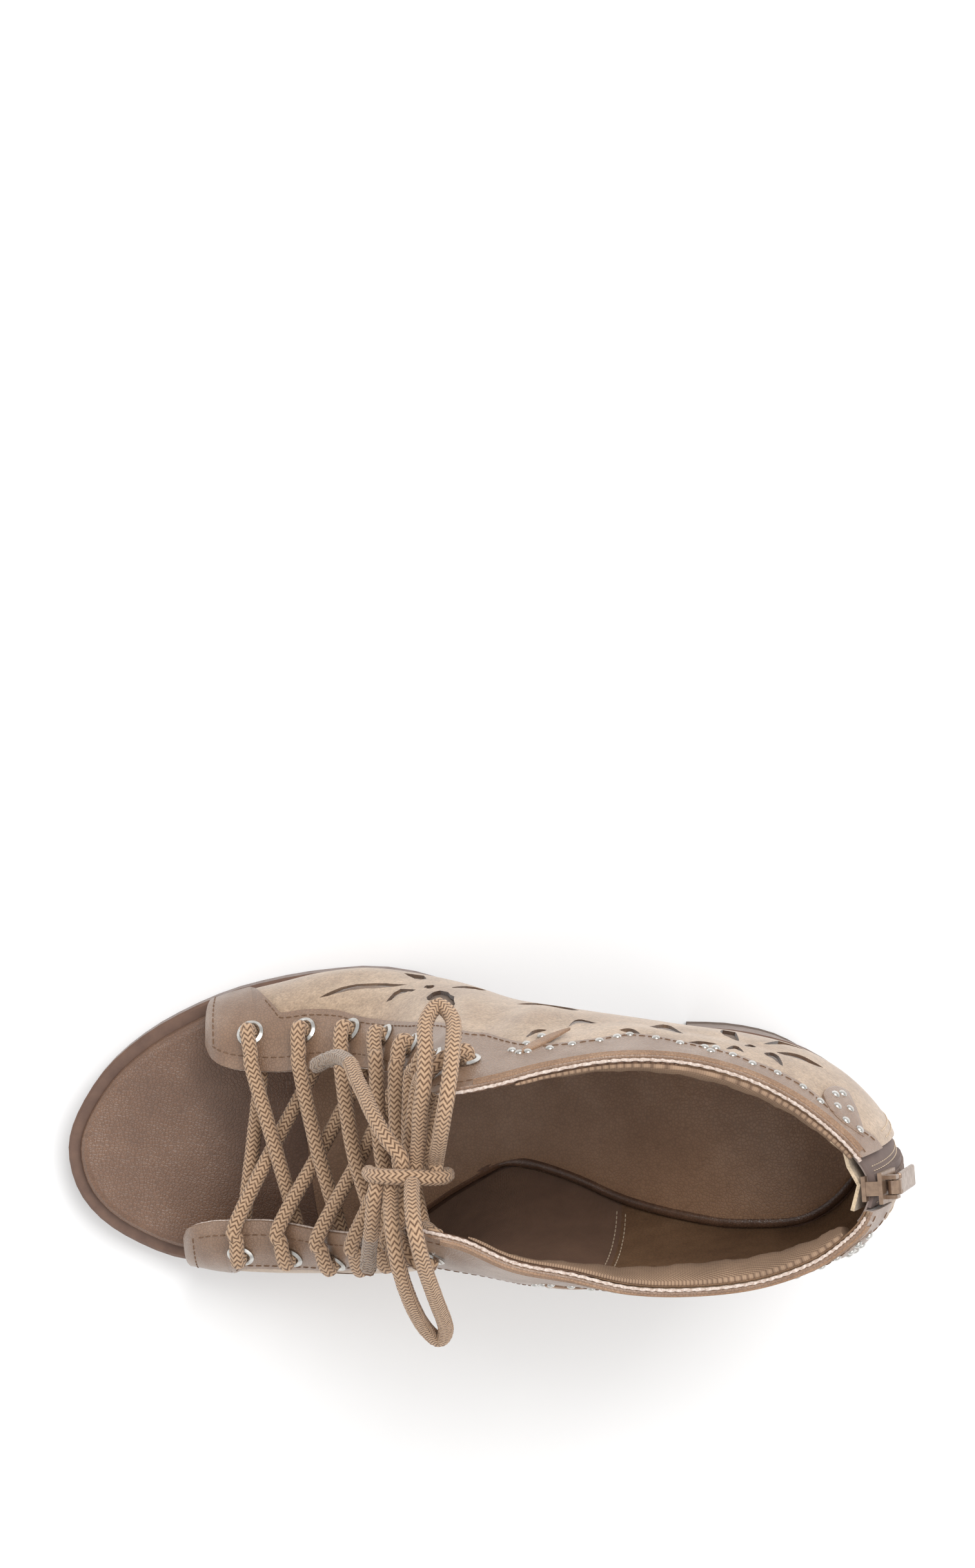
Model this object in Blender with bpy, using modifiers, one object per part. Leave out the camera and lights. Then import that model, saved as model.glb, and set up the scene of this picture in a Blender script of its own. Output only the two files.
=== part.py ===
"""Open-toe lace-up ankle boot on a block heel, right foot, with a zip at the back.

Metres, +Z up. The toe points to -X, the outer side of the foot is +Y, and the origin is on the
floor in the middle of the shoe. Run with blender --background --python part.py.
"""
import math

import bmesh
import bpy
import numpy as np
from mathutils import Matrix, Vector

# Lengths along the shoe
TOE_X = -0.1141            # front of the sole
SOLE_LENGTH = 0.2230       # toe rim to the back of the heel seat
BALL_WIDTH = 0.0880        # sole across the ball of the foot

# Heights
FORE_SOLE = 0.0090         # platform under the ball
SEAT_HEIGHT = 0.0805       # top of the outsole at the back of the heel
COLLAR_HEIGHT = 0.1440     # top edge of the upper at the ankle
PITCH = SEAT_HEIGHT - FORE_SOLE

# Walls and layers
GAP = 0.0003               # between pieces that touch
SUEDE_WALL = 0.0018        # suede quarter with its lining
TRIM_STEP = 0.0008         # smooth leather laid over the suede
WALL = SUEDE_WALL + TRIM_STEP
FEATHER_INSET = 0.0028     # inner face of the upper from the edge of the sole
FOOT_LIFT = 0.0016         # foot of the wall above the outsole
FOOTBED = 0.0035
FOOTBED_INSET = 0.0035
EDGE_BREAK = 0.0008        # small chamfer of the sole's edges

# Heel
LIFT = 0.0060
BREAST_X = 0.0603          # front face of the heel block
HEEL_X = 0.0713            # middle of the heel seat
HEEL_Y = -0.0025
BLOCK_INSET = 0.0010
BLOCK_TAPER_X = 0.12
BLOCK_TAPER_Y = 0.20

# Eyelets and lace
EYELETS = 7
EYELET_FLANGE = 0.0076     # outside diameter
EYELET_BORE = 0.0044
EYELET_METAL = 0.0003
EYELET_CROWN = 0.0008      # height of the flange
EYELET_SEAT = 0.0004       # flange above the leather
HOLE_CLEARANCE = 0.0003
LACE = 0.0042              # lace diameter

# Zip
SLOT_WIDTH = 0.0140
SLOT_BOTTOM = 0.0930
TAPE = 0.0008
COIL_WIDTH = 0.0034
COIL_RISE = 0.0010
SLIDER_WIDTH = 0.0080
SLIDER_LENGTH = 0.0090
PLATE = 0.0011
PIN = 0.0013
PIN_CLEARANCE = 0.0003
PULL_LENGTH = 0.0240
PULL_WIDTH = 0.0056
PULL_THICK = 0.0014
PLATE_CLEAR = 0.0008       # slider plates off the tape
SLIDER_CROWN = 0.0016      # slider above the top of the tape
EYE_RADIUS = 0.0018        # round eye of the pull
EYE_WIDTH = 0.0034
EAR = 0.0010
PIVOT_DROP = -0.0015       # pin below the top of the tape
PULL_LEAN = -0.12          # radians that the pull leans off the slider
TAPE_DROP = 0.0030         # top of the tape below the top of the wall
GUARD = 0.0010
GUARD_WIDTH = 0.0180
GUARD_SEAM = 0.0030
GUARD_CLEAR = 0.0026
SECTION_AT_BACK = 0.0080   # width of one section at the back, for finding places

# Sole, a row for each station: along is a share of the sole's length, outer and inner are the
# half widths as shares of the ball width, top and under are heights as shares of the pitch.
SOLE_ROWS = [
    # along, outer, inner, top, under
    (0.0000, -0.068, 0.068, 0.063, 0.070),
    (0.0152, 0.063, 0.220, 0.055, 0.060),
    (0.0668, 0.227, 0.352, 0.029, 0.027),
    (0.1435, 0.347, 0.441, 0.006, 0.000),
    (0.2395, 0.430, 0.473, 0.000, 0.000),
    (0.3290, 0.461, 0.469, 0.000, 0.000),
    (0.3830, 0.466, 0.440, 0.008, 0.000),
    (0.4190, 0.459, 0.405, 0.042, 0.028),
    (0.5085, 0.409, 0.259, 0.210, 0.259),
    (0.5670, 0.364, 0.186, 0.357, 0.420),
    (0.6250, 0.330, 0.218, 0.515, 0.582),
    (0.6880, 0.313, 0.282, 0.674, 0.741),
    (0.7550, 0.307, 0.320, 0.820, 0.887),
    (0.8220, 0.295, 0.345, 0.917, 0.985),
    (0.8900, 0.256, 0.345, 0.968, 1.035),
    (0.9435, 0.182, 0.293, 0.987, 1.055),
    (0.9790, 0.085, 0.205, 0.996, 1.063),
    (1.0000, -0.068, 0.068, 1.000, 1.067),
]

# Upper, a row for each section from the outer front edge round the heel to the inner front
# edge. foot is a share of the sole's length, side is 1 outer or -1 inner. The top edge of the
# lining is along (share of the sole's length from its toe), across (share of the ball width)
# and height (share of the collar height). The swells push the wall out, as shares of the ball
# width, and the rises place them up and down, as shares of the section's own height.
UPPER_ROWS = [
    # foot, side, along, across, height, low swell, low rise, high swell, high drop
    (0.190, 1, 0.195, 0.278, 0.207, 0.045, 0.50, 0.057, 0.10),
    (0.197, 1, 0.207, 0.230, 0.257, 0.057, 0.50, 0.102, 0.06),
    (0.213, 1, 0.229, 0.207, 0.280, 0.063, 0.50, 0.142, 0.05),
    (0.275, 1, 0.284, 0.199, 0.307, 0.068, 0.48, 0.170, 0.03),
    (0.329, 1, 0.325, 0.212, 0.340, 0.105, 0.45, 0.170, 0.05),
    (0.387, 1, 0.370, 0.218, 0.407, 0.125, 0.42, 0.160, 0.12),
    (0.446, 1, 0.414, 0.222, 0.520, 0.130, 0.38, 0.150, 0.20),
    (0.500, 1, 0.447, 0.224, 0.667, 0.150, 0.36, 0.170, 0.25),
    (0.544, 1, 0.475, 0.232, 0.853, 0.165, 0.33, 0.150, 0.30),
    (0.580, 1, 0.491, 0.233, 1.000, 0.175, 0.33, 0.120, 0.30),
    (0.616, 1, 0.544, 0.250, 1.007, 0.175, 0.33, 0.100, 0.30),
    (0.661, 1, 0.605, 0.280, 1.000, 0.160, 0.33, 0.065, 0.33),
    (0.715, 1, 0.682, 0.298, 0.987, 0.122, 0.33, 0.040, 0.33),
    (0.778, 1, 0.755, 0.283, 0.987, 0.080, 0.33, 0.040, 0.33),
    (0.840, 1, 0.822, 0.234, 1.000, 0.068, 0.33, 0.051, 0.33),
    (0.903, 1, 0.876, 0.160, 1.013, 0.074, 0.33, 0.068, 0.33),
    (0.952, 1, 0.919, 0.070, 1.023, 0.085, 0.33, 0.088, 0.33),
    (0.986, 1, 0.946, -0.010, 1.033, 0.098, 0.33, 0.108, 0.33),
    (1.000, 1, 0.958, -0.090, 1.037, 0.108, 0.33, 0.116, 0.33),
    (0.986, -1, 0.949, -0.168, 1.033, 0.104, 0.33, 0.110, 0.33),
    (0.952, -1, 0.928, -0.226, 1.020, 0.085, 0.33, 0.091, 0.33),
    (0.903, -1, 0.890, -0.287, 1.013, 0.065, 0.33, 0.065, 0.33),
    (0.840, -1, 0.831, -0.335, 1.000, 0.051, 0.33, 0.045, 0.33),
    (0.778, -1, 0.760, -0.351, 0.987, 0.068, 0.33, 0.034, 0.33),
    (0.719, -1, 0.688, -0.336, 0.987, 0.118, 0.33, 0.057, 0.33),
    (0.665, -1, 0.621, -0.285, 0.993, 0.165, 0.33, 0.120, 0.33),
    (0.616, -1, 0.557, -0.241, 1.000, 0.205, 0.33, 0.170, 0.30),
    (0.571, -1, 0.504, -0.170, 1.007, 0.240, 0.33, 0.230, 0.30),
    (0.531, -1, 0.459, -0.137, 1.000, 0.225, 0.33, 0.230, 0.30),
    (0.495, -1, 0.439, -0.177, 0.813, 0.190, 0.34, 0.215, 0.28),
    (0.459, -1, 0.413, -0.232, 0.633, 0.170, 0.36, 0.190, 0.24),
    (0.414, -1, 0.372, -0.270, 0.480, 0.135, 0.40, 0.150, 0.15),
    (0.361, -1, 0.326, -0.281, 0.373, 0.108, 0.44, 0.136, 0.08),
    (0.316, -1, 0.291, -0.273, 0.327, 0.085, 0.47, 0.136, 0.04),
    (0.266, -1, 0.255, -0.264, 0.293, 0.068, 0.50, 0.148, 0.03),
    (0.208, -1, 0.204, -0.264, 0.267, 0.051, 0.50, 0.136, 0.04),
    (0.177, -1, 0.183, -0.268, 0.253, 0.045, 0.50, 0.125, 0.05),
    (0.154, -1, 0.163, -0.285, 0.230, 0.040, 0.50, 0.091, 0.08),
    (0.145, -1, 0.152, -0.339, 0.180, 0.034, 0.50, 0.051, 0.10),
]
OUTER_STRAP_END = 2.55     # section where the outer front strap gives way to suede
INNER_STRAP_END = 35.2     # the same on the inner side
TRIM_DEPTH = 0.0160        # smooth leather below the top edge
TRIM_DEEP = 0.0240         # where it widens at the top eyelets
OUTER_CORNER = 9.0         # sections of the two corners of the throat
INNER_CORNER = 28.0
BACK_SECTION = 18.0

# Eyelets, a row for each: their sections, how far they stand from the edge, and the sections
# where the lace crosses the facing's edge
EYELET_ROWS = [
    # outer section, inner section, inset, outer crossing, inner crossing
    (2.40, 34.70, 0.0095, 2.45, 34.65),
    (3.80, 33.35, 0.0095, 3.80, 33.30),
    (5.10, 31.80, 0.0100, 5.10, 31.80),
    (6.10, 30.90, 0.0110, 6.20, 30.80),
    (7.20, 29.95, 0.0125, 7.00, 30.05),
    (8.40, 28.85, 0.0150, 7.65, 29.45),
    (9.40, 27.90, 0.0165, 8.10, 28.95),
]

# The bow, hand-chosen points in millimetres
TALL_LOOP = [
    (-13.9, 3.8, 128.0), (-12.9, 9.0, 132.0), (-12.1, 16.7, 138.0), (-10.7, 24.3, 141.0),
    (-9.9, 32.4, 138.0), (-9.5, 38.6, 131.0), (-6.2, 42.1, 125.0), (-2.6, 38.8, 131.0),
    (-3.0, 32.0, 142.0), (-4.7, 22.7, 148.0), (-6.6, 14.0, 145.0), (-7.9, 7.8, 138.0),
    (-8.8, 3.6, 130.0),
]
LOW_LOOP = [
    (-21.2, -6.9, 129.0), (-20.9, -14.2, 136.2), (-19.9, -23.2, 135.2), (-17.8, -33.9, 124.6),
    (-15.1, -43.6, 108.0), (-11.6, -49.0, 99.0), (-9.3, -44.5, 108.0), (-11.2, -32.5, 130.0),
    (-13.4, -21.3, 144.4), (-14.9, -12.1, 149.0), (-15.4, -5.6, 142.0),
]
LONG_END = [
    (-18.1, 4.4, 129.0), (-21.4, 8.9, 127.0), (-24.6, 14.2, 121.0), (-27.0, 18.6, 112.0),
    (-29.2, 22.1, 103.0), (-30.7, 24.7, 95.0), (-33.8, 25.7, 87.0), (-37.4, 24.2, 79.0),
    (-41.1, 21.8, 72.0),
]
SHORT_END = [
    (-25.5, -6.9, 127.0), (-26.5, -14.0, 123.0), (-27.8, -21.2, 115.0), (-28.8, -28.4, 105.0),
]
KNOT_WRAP = [
    (-26.5, -0.5, 122.0), (-25.3, -0.5, 127.5), (-21.6, -0.5, 131.0), (-16.4, -0.7, 132.5),
    (-11.3, -1.4, 131.0), (-7.6, -1.9, 127.5), (-6.4, -2.1, 122.0),
]
KNOT_MIDDLE = (-17.1, -1.6, 122.0)

COLUMNS_PER_SECTION = 2
LOW_ROWS = 4
HIGH_ROWS = 4
RING_STEPS = 46            # outline points on each side of the sole


def clear_scene():
    for item in list(bpy.data.objects):
        bpy.data.objects.remove(item, do_unlink=True)


def collection(name):
    found = bpy.data.collections.new(name)
    bpy.context.scene.collection.children.link(found)
    return found


def finish(name, colour, roughness, metallic=0.0):
    material = bpy.data.materials.new(name)
    material.use_nodes = True
    shader = material.node_tree.nodes["Principled BSDF"]
    shader.inputs["Base Color"].default_value = (*colour, 1.0)
    shader.inputs["Roughness"].default_value = roughness
    shader.inputs["Metallic"].default_value = metallic
    return material


def smooth(xs, ys, x):
    """A curve through the rows that never overshoots them."""
    xs, ys = np.asarray(xs, float), np.asarray(ys, float)
    step = np.diff(xs)
    rise = np.diff(ys) / step
    slope = np.zeros(len(xs))
    slope[0], slope[-1] = rise[0], rise[-1]
    for i in range(1, len(xs) - 1):
        if rise[i - 1] * rise[i] > 0:
            a = 2 * step[i] + step[i - 1]
            b = step[i] + 2 * step[i - 1]
            slope[i] = (a + b) / (a / rise[i - 1] + b / rise[i])
    i = int(np.clip(np.searchsorted(xs, x) - 1, 0, len(xs) - 2))
    t = (x - xs[i]) / step[i]
    h = step[i]
    return float(
        ys[i] * (1 + 2 * t) * (1 - t) ** 2
        + h * slope[i] * t * (1 - t) ** 2
        + ys[i + 1] * t * t * (3 - 2 * t)
        + h * slope[i + 1] * t * t * (t - 1)
    )


def spline(points, u):
    """A soft curve through a row of points, read at u sections along it."""
    last = len(points) - 1
    i = int(min(max(math.floor(u), 0), last - 1))
    t = u - i
    p1, p2 = points[i], points[i + 1]
    p0 = points[i - 1] if i > 0 else 2 * p1 - p2
    p3 = points[i + 2] if i + 2 <= last else 2 * p2 - p1
    return 0.5 * (
        2 * p1
        + (p2 - p0) * t
        + (2 * p0 - 5 * p1 + 4 * p2 - p3) * t * t
        + (3 * p1 - p0 - 3 * p2 + p3) * t ** 3
    )


# The sole

TURNS = [math.acos(1 - 2 * row[0]) for row in SOLE_ROWS]


def turn_of(along, side=1):
    """The turn round the outline at a share of the length: 0 toe, pi heel, 2 pi toe again."""
    turn = math.acos(min(1.0, max(-1.0, 1 - 2 * along)))
    return turn if side > 0 else 2 * math.pi - turn


def sole_edge(turn):
    half = turn if turn <= math.pi else 2 * math.pi - turn
    x = TOE_X + SOLE_LENGTH * (1 - math.cos(half)) / 2
    if turn <= math.pi:
        return np.array([x, BALL_WIDTH * smooth(TURNS, [r[1] for r in SOLE_ROWS], half)])
    return np.array([x, -BALL_WIDTH * smooth(TURNS, [r[2] for r in SOLE_ROWS], half)])


def edge_normal(turn):
    step = 0.03
    ahead = sole_edge((turn + step) % (2 * math.pi))
    behind = sole_edge((turn - step) % (2 * math.pi))
    along = ahead - behind
    along /= np.linalg.norm(along)
    return np.array([-along[1], along[0]])


def inset_edge(turn, inset):
    return sole_edge(turn) - edge_normal(turn) * inset


def share_along(x):
    return min(1.0, max(0.0, (x - TOE_X) / SOLE_LENGTH))


def height_at(x, column):
    shares = [row[0] for row in SOLE_ROWS]
    return smooth(shares, [row[column] for row in SOLE_ROWS], share_along(x))


def sole_top(x):
    return FORE_SOLE + PITCH * height_at(x, 3)


def sole_under(x):
    return PITCH * height_at(x, 4)


def stack(name, rings, material, group):
    """A closed solid from rings of points that run toe, outer side, heel, inner side."""
    mesh = bpy.data.meshes.new(name)
    builder = bmesh.new()
    count = len(rings[0])
    layers = [[builder.verts.new(p) for p in ring] for ring in rings]
    for low, high in zip(layers, layers[1:]):
        for i in range(count):
            j = (i + 1) % count
            builder.faces.new((low[i], high[i], high[j], low[j]))
    for layer, flip in ((layers[0], False), (layers[-1], True)):
        left, right = 0, count - 1
        bridge(builder, layer, flip, left, right)
    bmesh.ops.recalc_face_normals(builder, faces=builder.faces)
    builder.to_mesh(mesh)
    builder.free()
    return add_mesh(name, mesh, material, group)


def bridge(builder, layer, flip, left, right):
    """Covers a ring with ribs from one side to the other."""
    while right - left >= 2:
        corners = [layer[left], layer[left + 1], layer[right - 1], layer[right]]
        if right - left == 2:
            corners = [layer[left], layer[left + 1], layer[right]]
        if flip:
            corners.reverse()
        builder.faces.new(corners)
        left, right = left + 1, right - 1


def add_mesh(name, mesh, material, group):
    item = bpy.data.objects.new(name, mesh)
    mesh.materials.append(material)
    group.objects.link(item)
    mesh.shade_smooth()
    mesh.set_sharp_from_angle(angle=math.radians(35))
    return item


def sole_ring(inset, height, steps=RING_STEPS, start=0.0):
    """Outline points at an inset, from the start turn round the heel and back."""
    count = 2 * steps
    span = 2 * math.pi - 2 * start
    ring = []
    for i in range(count):
        if start:
            turn = start + span * i / (count - 1)
        else:
            turn = span * (i + 0.5) / count
        x, y = inset_edge(turn, inset)
        ring.append((x, y, height(x)))
    return ring


def outsole(material, group):
    rings = [
        sole_ring(EDGE_BREAK, sole_under),
        sole_ring(0.0, lambda x: sole_under(x) + EDGE_BREAK),
        sole_ring(0.0, lambda x: sole_top(x) - EDGE_BREAK),
        sole_ring(EDGE_BREAK, sole_top),
    ]
    return stack("outsole", rings, material, group)


def footbed(material, group):
    base = lambda x: sole_top(x) + GAP
    roll = 0.35 * FOOTBED
    rings = [
        sole_ring(FOOTBED_INSET, base),
        sole_ring(FOOTBED_INSET, lambda x: base(x) + FOOTBED - 2 * roll),
        sole_ring(FOOTBED_INSET + 0.3 * roll, lambda x: base(x) + FOOTBED - roll),
        sole_ring(FOOTBED_INSET + roll, lambda x: base(x) + FOOTBED - 0.3 * roll),
        sole_ring(FOOTBED_INSET + 2 * roll, lambda x: base(x) + FOOTBED),
    ]
    return stack("footbed", rings, material, group)


def block_ring(taper, height, inset=BLOCK_INSET):
    """The heel's outline behind its breast, drawn in towards the middle of the seat."""
    start = turn_of(share_along(BREAST_X))
    ring = []
    for x, y, _ in sole_ring(inset, sole_under, 14, start):
        across = HEEL_Y + (y - HEEL_Y) * (1 - BLOCK_TAPER_Y * taper)
        along = HEEL_X + (x - HEEL_X) * (1 - BLOCK_TAPER_X * taper)
        ring.append((along, across, height(x)))
    return ring


def heel_block(material, group):
    foot = LIFT + GAP
    seat = lambda x: sole_under(x) - GAP
    rings = [block_ring(1.0, lambda x: foot)]
    for level, taper in ((0.35, 0.80), (0.70, 0.42)):
        rings.append(block_ring(taper, lambda x, s=level: foot + s * (seat(x) - foot)))
    rings.append(block_ring(0.0, seat))
    return stack("heel_block", rings, material, group)


def top_lift(material, group):
    rings = [
        block_ring(1.0, lambda x: 0.0, BLOCK_INSET + EDGE_BREAK),
        block_ring(1.0, lambda x: EDGE_BREAK),
        block_ring(1.0, lambda x: LIFT),
    ]
    return stack("top_lift", rings, material, group)


# The upper


def outward(point, side):
    """Straight out to the side, turning to straight back behind the middle of the heel."""
    if point[0] <= HEEL_X:
        return np.array([0.0, float(side), 0.0])
    away = np.array([point[0] - HEEL_X, point[1] - HEEL_Y, 0.0])
    return away / np.linalg.norm(away)


def rails():
    """The four lines that shape the wall: its foot, two swells and its top edge."""
    foot_turns, low, high, top = [], [], [], []
    for foot, side, along, across, height, low_out, low_up, high_out, high_down in UPPER_ROWS:
        turn = turn_of(foot, side)
        x, y = inset_edge(turn, FEATHER_INSET)
        start = np.array([x, y, sole_top(x) + FOOT_LIFT])
        end = np.array(
            [TOE_X + SOLE_LENGTH * along, BALL_WIDTH * across, COLLAR_HEIGHT * height]
        )
        out = outward(start, side)
        rise = end[2] - start[2]
        third = start + (end - start) / 3
        low_point = third + out * BALL_WIDTH * low_out
        low_point[:2] = (
            start[:2] * 0.6 + third[:2] * 0.4 + out[:2] * BALL_WIDTH * low_out
        )
        low_point[2] = start[2] + rise * low_up
        high_point = end + out * BALL_WIDTH * high_out
        high_point[2] = end[2] - rise * high_down
        foot_turns.append(turn)
        low.append(low_point)
        high.append(high_point)
        top.append(end)
    return foot_turns, low, high, top


FOOT_TURNS, LOW_RAIL, HIGH_RAIL, TOP_RAIL = rails()


def wall(u, v):
    """The inner face of the upper: u counts sections, v runs from the foot to the top edge."""
    turn = smooth(range(len(FOOT_TURNS)), FOOT_TURNS, u)
    x, y = inset_edge(turn, FEATHER_INSET)
    start = np.array([x, y, sole_top(x) + FOOT_LIFT])
    low, high, end = spline(LOW_RAIL, u), spline(HIGH_RAIL, u), spline(TOP_RAIL, u)
    w = 1 - v
    return w ** 3 * start + 3 * w * w * v * low + 3 * w * v * v * high + v ** 3 * end


def wall_normal(u, v):
    step = 0.02
    last = len(UPPER_ROWS) - 1
    across = wall(min(u + step, last), v) - wall(max(u - step, 0), v)
    up = wall(u, min(v + step, 1)) - wall(u, max(v - step, 0))
    normal = np.cross(up, across)
    return normal / np.linalg.norm(normal)


def drop_from_edge(u, distance):
    """The v that lies a distance below the top edge, measured along the wall."""
    v, gone = 1.0, 0.0
    point = wall(u, v)
    step = 0.01
    while v > step:
        following = wall(u, v - step)
        gone += np.linalg.norm(following - point)
        point, v = following, v - step
        if gone >= distance:
            break
    return v


def trim_line(u):
    """Where the smooth leather ends: down to the foot at the straps, a band elsewhere."""
    depth = TRIM_DEPTH
    for corner in (OUTER_CORNER, INNER_CORNER):
        near = max(0.0, 1 - abs(u - corner) / 2.5)
        depth += (TRIM_DEEP - TRIM_DEPTH) * near
    v = drop_from_edge(u, depth)
    outer = min(1.0, max(0.0, (u - OUTER_STRAP_END) / 0.5))
    inner = min(1.0, max(0.0, (INNER_STRAP_END - u) / 0.5))
    share = min(outer, inner)
    return 0.02 + (v - 0.02) * share ** 0.4


def wall_rows(u):
    """The rows of one column with the thickness of the wall at each."""
    seam = trim_line(u)
    rows = [(seam * i / LOW_ROWS, SUEDE_WALL) for i in range(LOW_ROWS + 1)]
    ledge = seam + 0.012
    rows += [(ledge + (1 - ledge) * i / HIGH_ROWS, WALL) for i in range(HIGH_ROWS + 1)]
    return rows


def sheet(name, columns, material, group):
    """A shell from columns of (point, thickness), thickened outwards."""
    mesh = bpy.data.meshes.new(name)
    builder = bmesh.new()
    grid = [[builder.verts.new(p) for p, _ in column] for column in columns]
    for left, right in zip(grid, grid[1:]):
        for i in range(len(left) - 1):
            builder.faces.new((left[i], left[i + 1], right[i + 1], right[i]))
    builder.to_mesh(mesh)
    builder.free()
    item = add_mesh(name, mesh, material, group)
    thickest = max(t for column in columns for _, t in column)
    layer = item.vertex_groups.new(name="thickness")
    weights = [t / thickest for column in columns for _, t in column]
    for index, weight in enumerate(weights):
        layer.add([index], weight, "REPLACE")
    shell = item.modifiers.new("wall", "SOLIDIFY")
    shell.thickness = thickest
    shell.offset = 1.0
    shell.vertex_group = "thickness"
    return item


def upper_columns():
    last = len(UPPER_ROWS) - 1
    at = [i / COLUMNS_PER_SECTION for i in range(last * COLUMNS_PER_SECTION + 1)]
    at += [OUTER_STRAP_END + 0.05, OUTER_STRAP_END + 0.2]
    at += [INNER_STRAP_END - 0.05, INNER_STRAP_END - 0.2]
    return [[(wall(u, v), t) for v, t in wall_rows(u)] for u in sorted(set(at))]


def cut(item, cutter, name):
    cutter.hide_render = True
    cutter.display_type = "WIRE"
    boolean = item.modifiers.new(name, "BOOLEAN")
    boolean.operation = "DIFFERENCE"
    boolean.solver = "EXACT"
    boolean.object = cutter


def upper(material, group, cutters):
    item = sheet("upper", upper_columns(), material, group)
    cut(item, slot_cutter(cutters), "zip slot")
    cut(item, hole_cutter(cutters), "eyelet holes")
    return item


# Eyelets


def eyelet_places():
    """Name, middle of the hole on the outer face, and outward direction of each eyelet."""
    places = []
    for number, (outer_at, inner_at, inset, _, _) in enumerate(EYELET_ROWS, 1):
        for side, u in (("outer", outer_at), ("inner", inner_at)):
            v = drop_from_edge(u, inset)
            out = wall_normal(u, v)
            places.append((f"eyelet_{side}_{number}", wall(u, v) + out * WALL, out))
    return places


def aim(direction):
    return Vector(direction).to_track_quat("Z", "Y").to_matrix().to_4x4()


def hole_cutter(cutters):
    builder = bmesh.new()
    radius = EYELET_BORE / 2 + EYELET_METAL + HOLE_CLEARANCE
    for _, point, out in eyelet_places():
        place = Matrix.Translation(Vector(point - out * WALL / 2)) @ aim(out)
        bmesh.ops.create_cone(
            builder, cap_ends=True, segments=12, radius1=radius, radius2=radius,
            depth=4 * WALL, matrix=place,
        )
    mesh = bpy.data.meshes.new("eyelet_holes")
    builder.to_mesh(mesh)
    builder.free()
    item = bpy.data.objects.new("eyelet_holes", mesh)
    cutters.objects.link(item)
    return item


def eyelets(material, group):
    bore = EYELET_BORE / 2
    barrel = bore + EYELET_METAL
    flange = EYELET_FLANGE / 2
    profile = [
        (bore, EYELET_SEAT + 0.5 * EYELET_CROWN),
        (0.5 * (barrel + flange), EYELET_SEAT + EYELET_CROWN),
        (flange, EYELET_SEAT + 0.35 * EYELET_CROWN),
        (flange, EYELET_SEAT),
        (barrel, EYELET_SEAT),
        (barrel, -WALL),
        (bore, -WALL),
    ]
    segments = 12
    mesh = bpy.data.meshes.new("eyelet")
    builder = bmesh.new()
    rings = []
    for i in range(segments):
        angle = 2 * math.pi * i / segments
        rings.append(
            [builder.verts.new((r * math.cos(angle), r * math.sin(angle), z)) for r, z in profile]
        )
    for i in range(segments):
        near, far = rings[i], rings[(i + 1) % segments]
        for k in range(len(profile)):
            m = (k + 1) % len(profile)
            builder.faces.new((near[k], far[k], far[m], near[m]))
    bmesh.ops.recalc_face_normals(builder, faces=builder.faces)
    builder.to_mesh(mesh)
    builder.free()
    mesh.shade_smooth()
    mesh.materials.append(material)
    for name, point, out in eyelet_places():
        item = bpy.data.objects.new(name, mesh)
        group.objects.link(item)
        item.matrix_world = Matrix.Translation(Vector(point)) @ aim(out)


# Zip


def wall_height(u, z):
    """The v at which a section of the wall reaches a height."""
    low, high = 0.0, 1.0
    for _ in range(24):
        middle = (low + high) / 2
        if wall(u, middle)[2] < z:
            low = middle
        else:
            high = middle
    return low


def back_point(across, z):
    """The lining's face beside the back line: its point and the way out of it."""
    u = BACK_SECTION
    middle_y = wall(BACK_SECTION, wall_height(BACK_SECTION, z))[1]
    for _ in range(5):
        y = wall(u, wall_height(u, z))[1]
        u -= (middle_y + across - y) / SECTION_AT_BACK
    v = wall_height(u, z)
    return wall(u, v), wall_normal(u, v)


def back_top():
    return TOP_RAIL[int(BACK_SECTION)][2]


def arc(start, end, steps):
    return [start + (end - start) * i / steps for i in range(steps + 1)]


def slot_cutter(cutters):
    """A tall prism through the back of the upper, round at its lower end."""
    point, _ = back_point(0, SLOT_BOTTOM)
    radius = SLOT_WIDTH / 2
    outline = [(radius * math.cos(a), radius * math.sin(a)) for a in arc(math.pi, 2 * math.pi, 8)]
    top = back_top() * 1.1 - SLOT_BOTTOM - radius
    outline += [(radius, top), (-radius, top)]
    mesh = bpy.data.meshes.new("zip_slot")
    builder = bmesh.new()
    sides = []
    for x in (point[0] - 12 * WALL, point[0] + 12 * WALL):
        ring = [builder.verts.new((x, point[1] + y, SLOT_BOTTOM + radius + z)) for y, z in outline]
        sides.append(ring)
    for i in range(len(outline)):
        j = (i + 1) % len(outline)
        builder.faces.new((sides[0][i], sides[0][j], sides[1][j], sides[1][i]))
    builder.faces.new(sides[0][::-1])
    builder.faces.new(sides[1])
    bmesh.ops.recalc_face_normals(builder, faces=builder.faces)
    builder.to_mesh(mesh)
    builder.free()
    item = bpy.data.objects.new("zip_slot", mesh)
    cutters.objects.link(item)
    return item


def back_strip(across, bottom, top, rows):
    """Columns up the back from (sideways place, thickness, offset out of the lining's face)."""
    middle_y = back_point(0, SLOT_BOTTOM)[0][1]
    columns = []
    for y, thickness, offset in across:
        column = []
        for i in range(rows + 1):
            z = bottom + (top - bottom) * i / rows
            lean = back_point(0, z)[0][1] - middle_y
            point, out = back_point(y - lean, z)
            column.append((point + out * offset, thickness))
        columns.append(column)
    return columns


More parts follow.
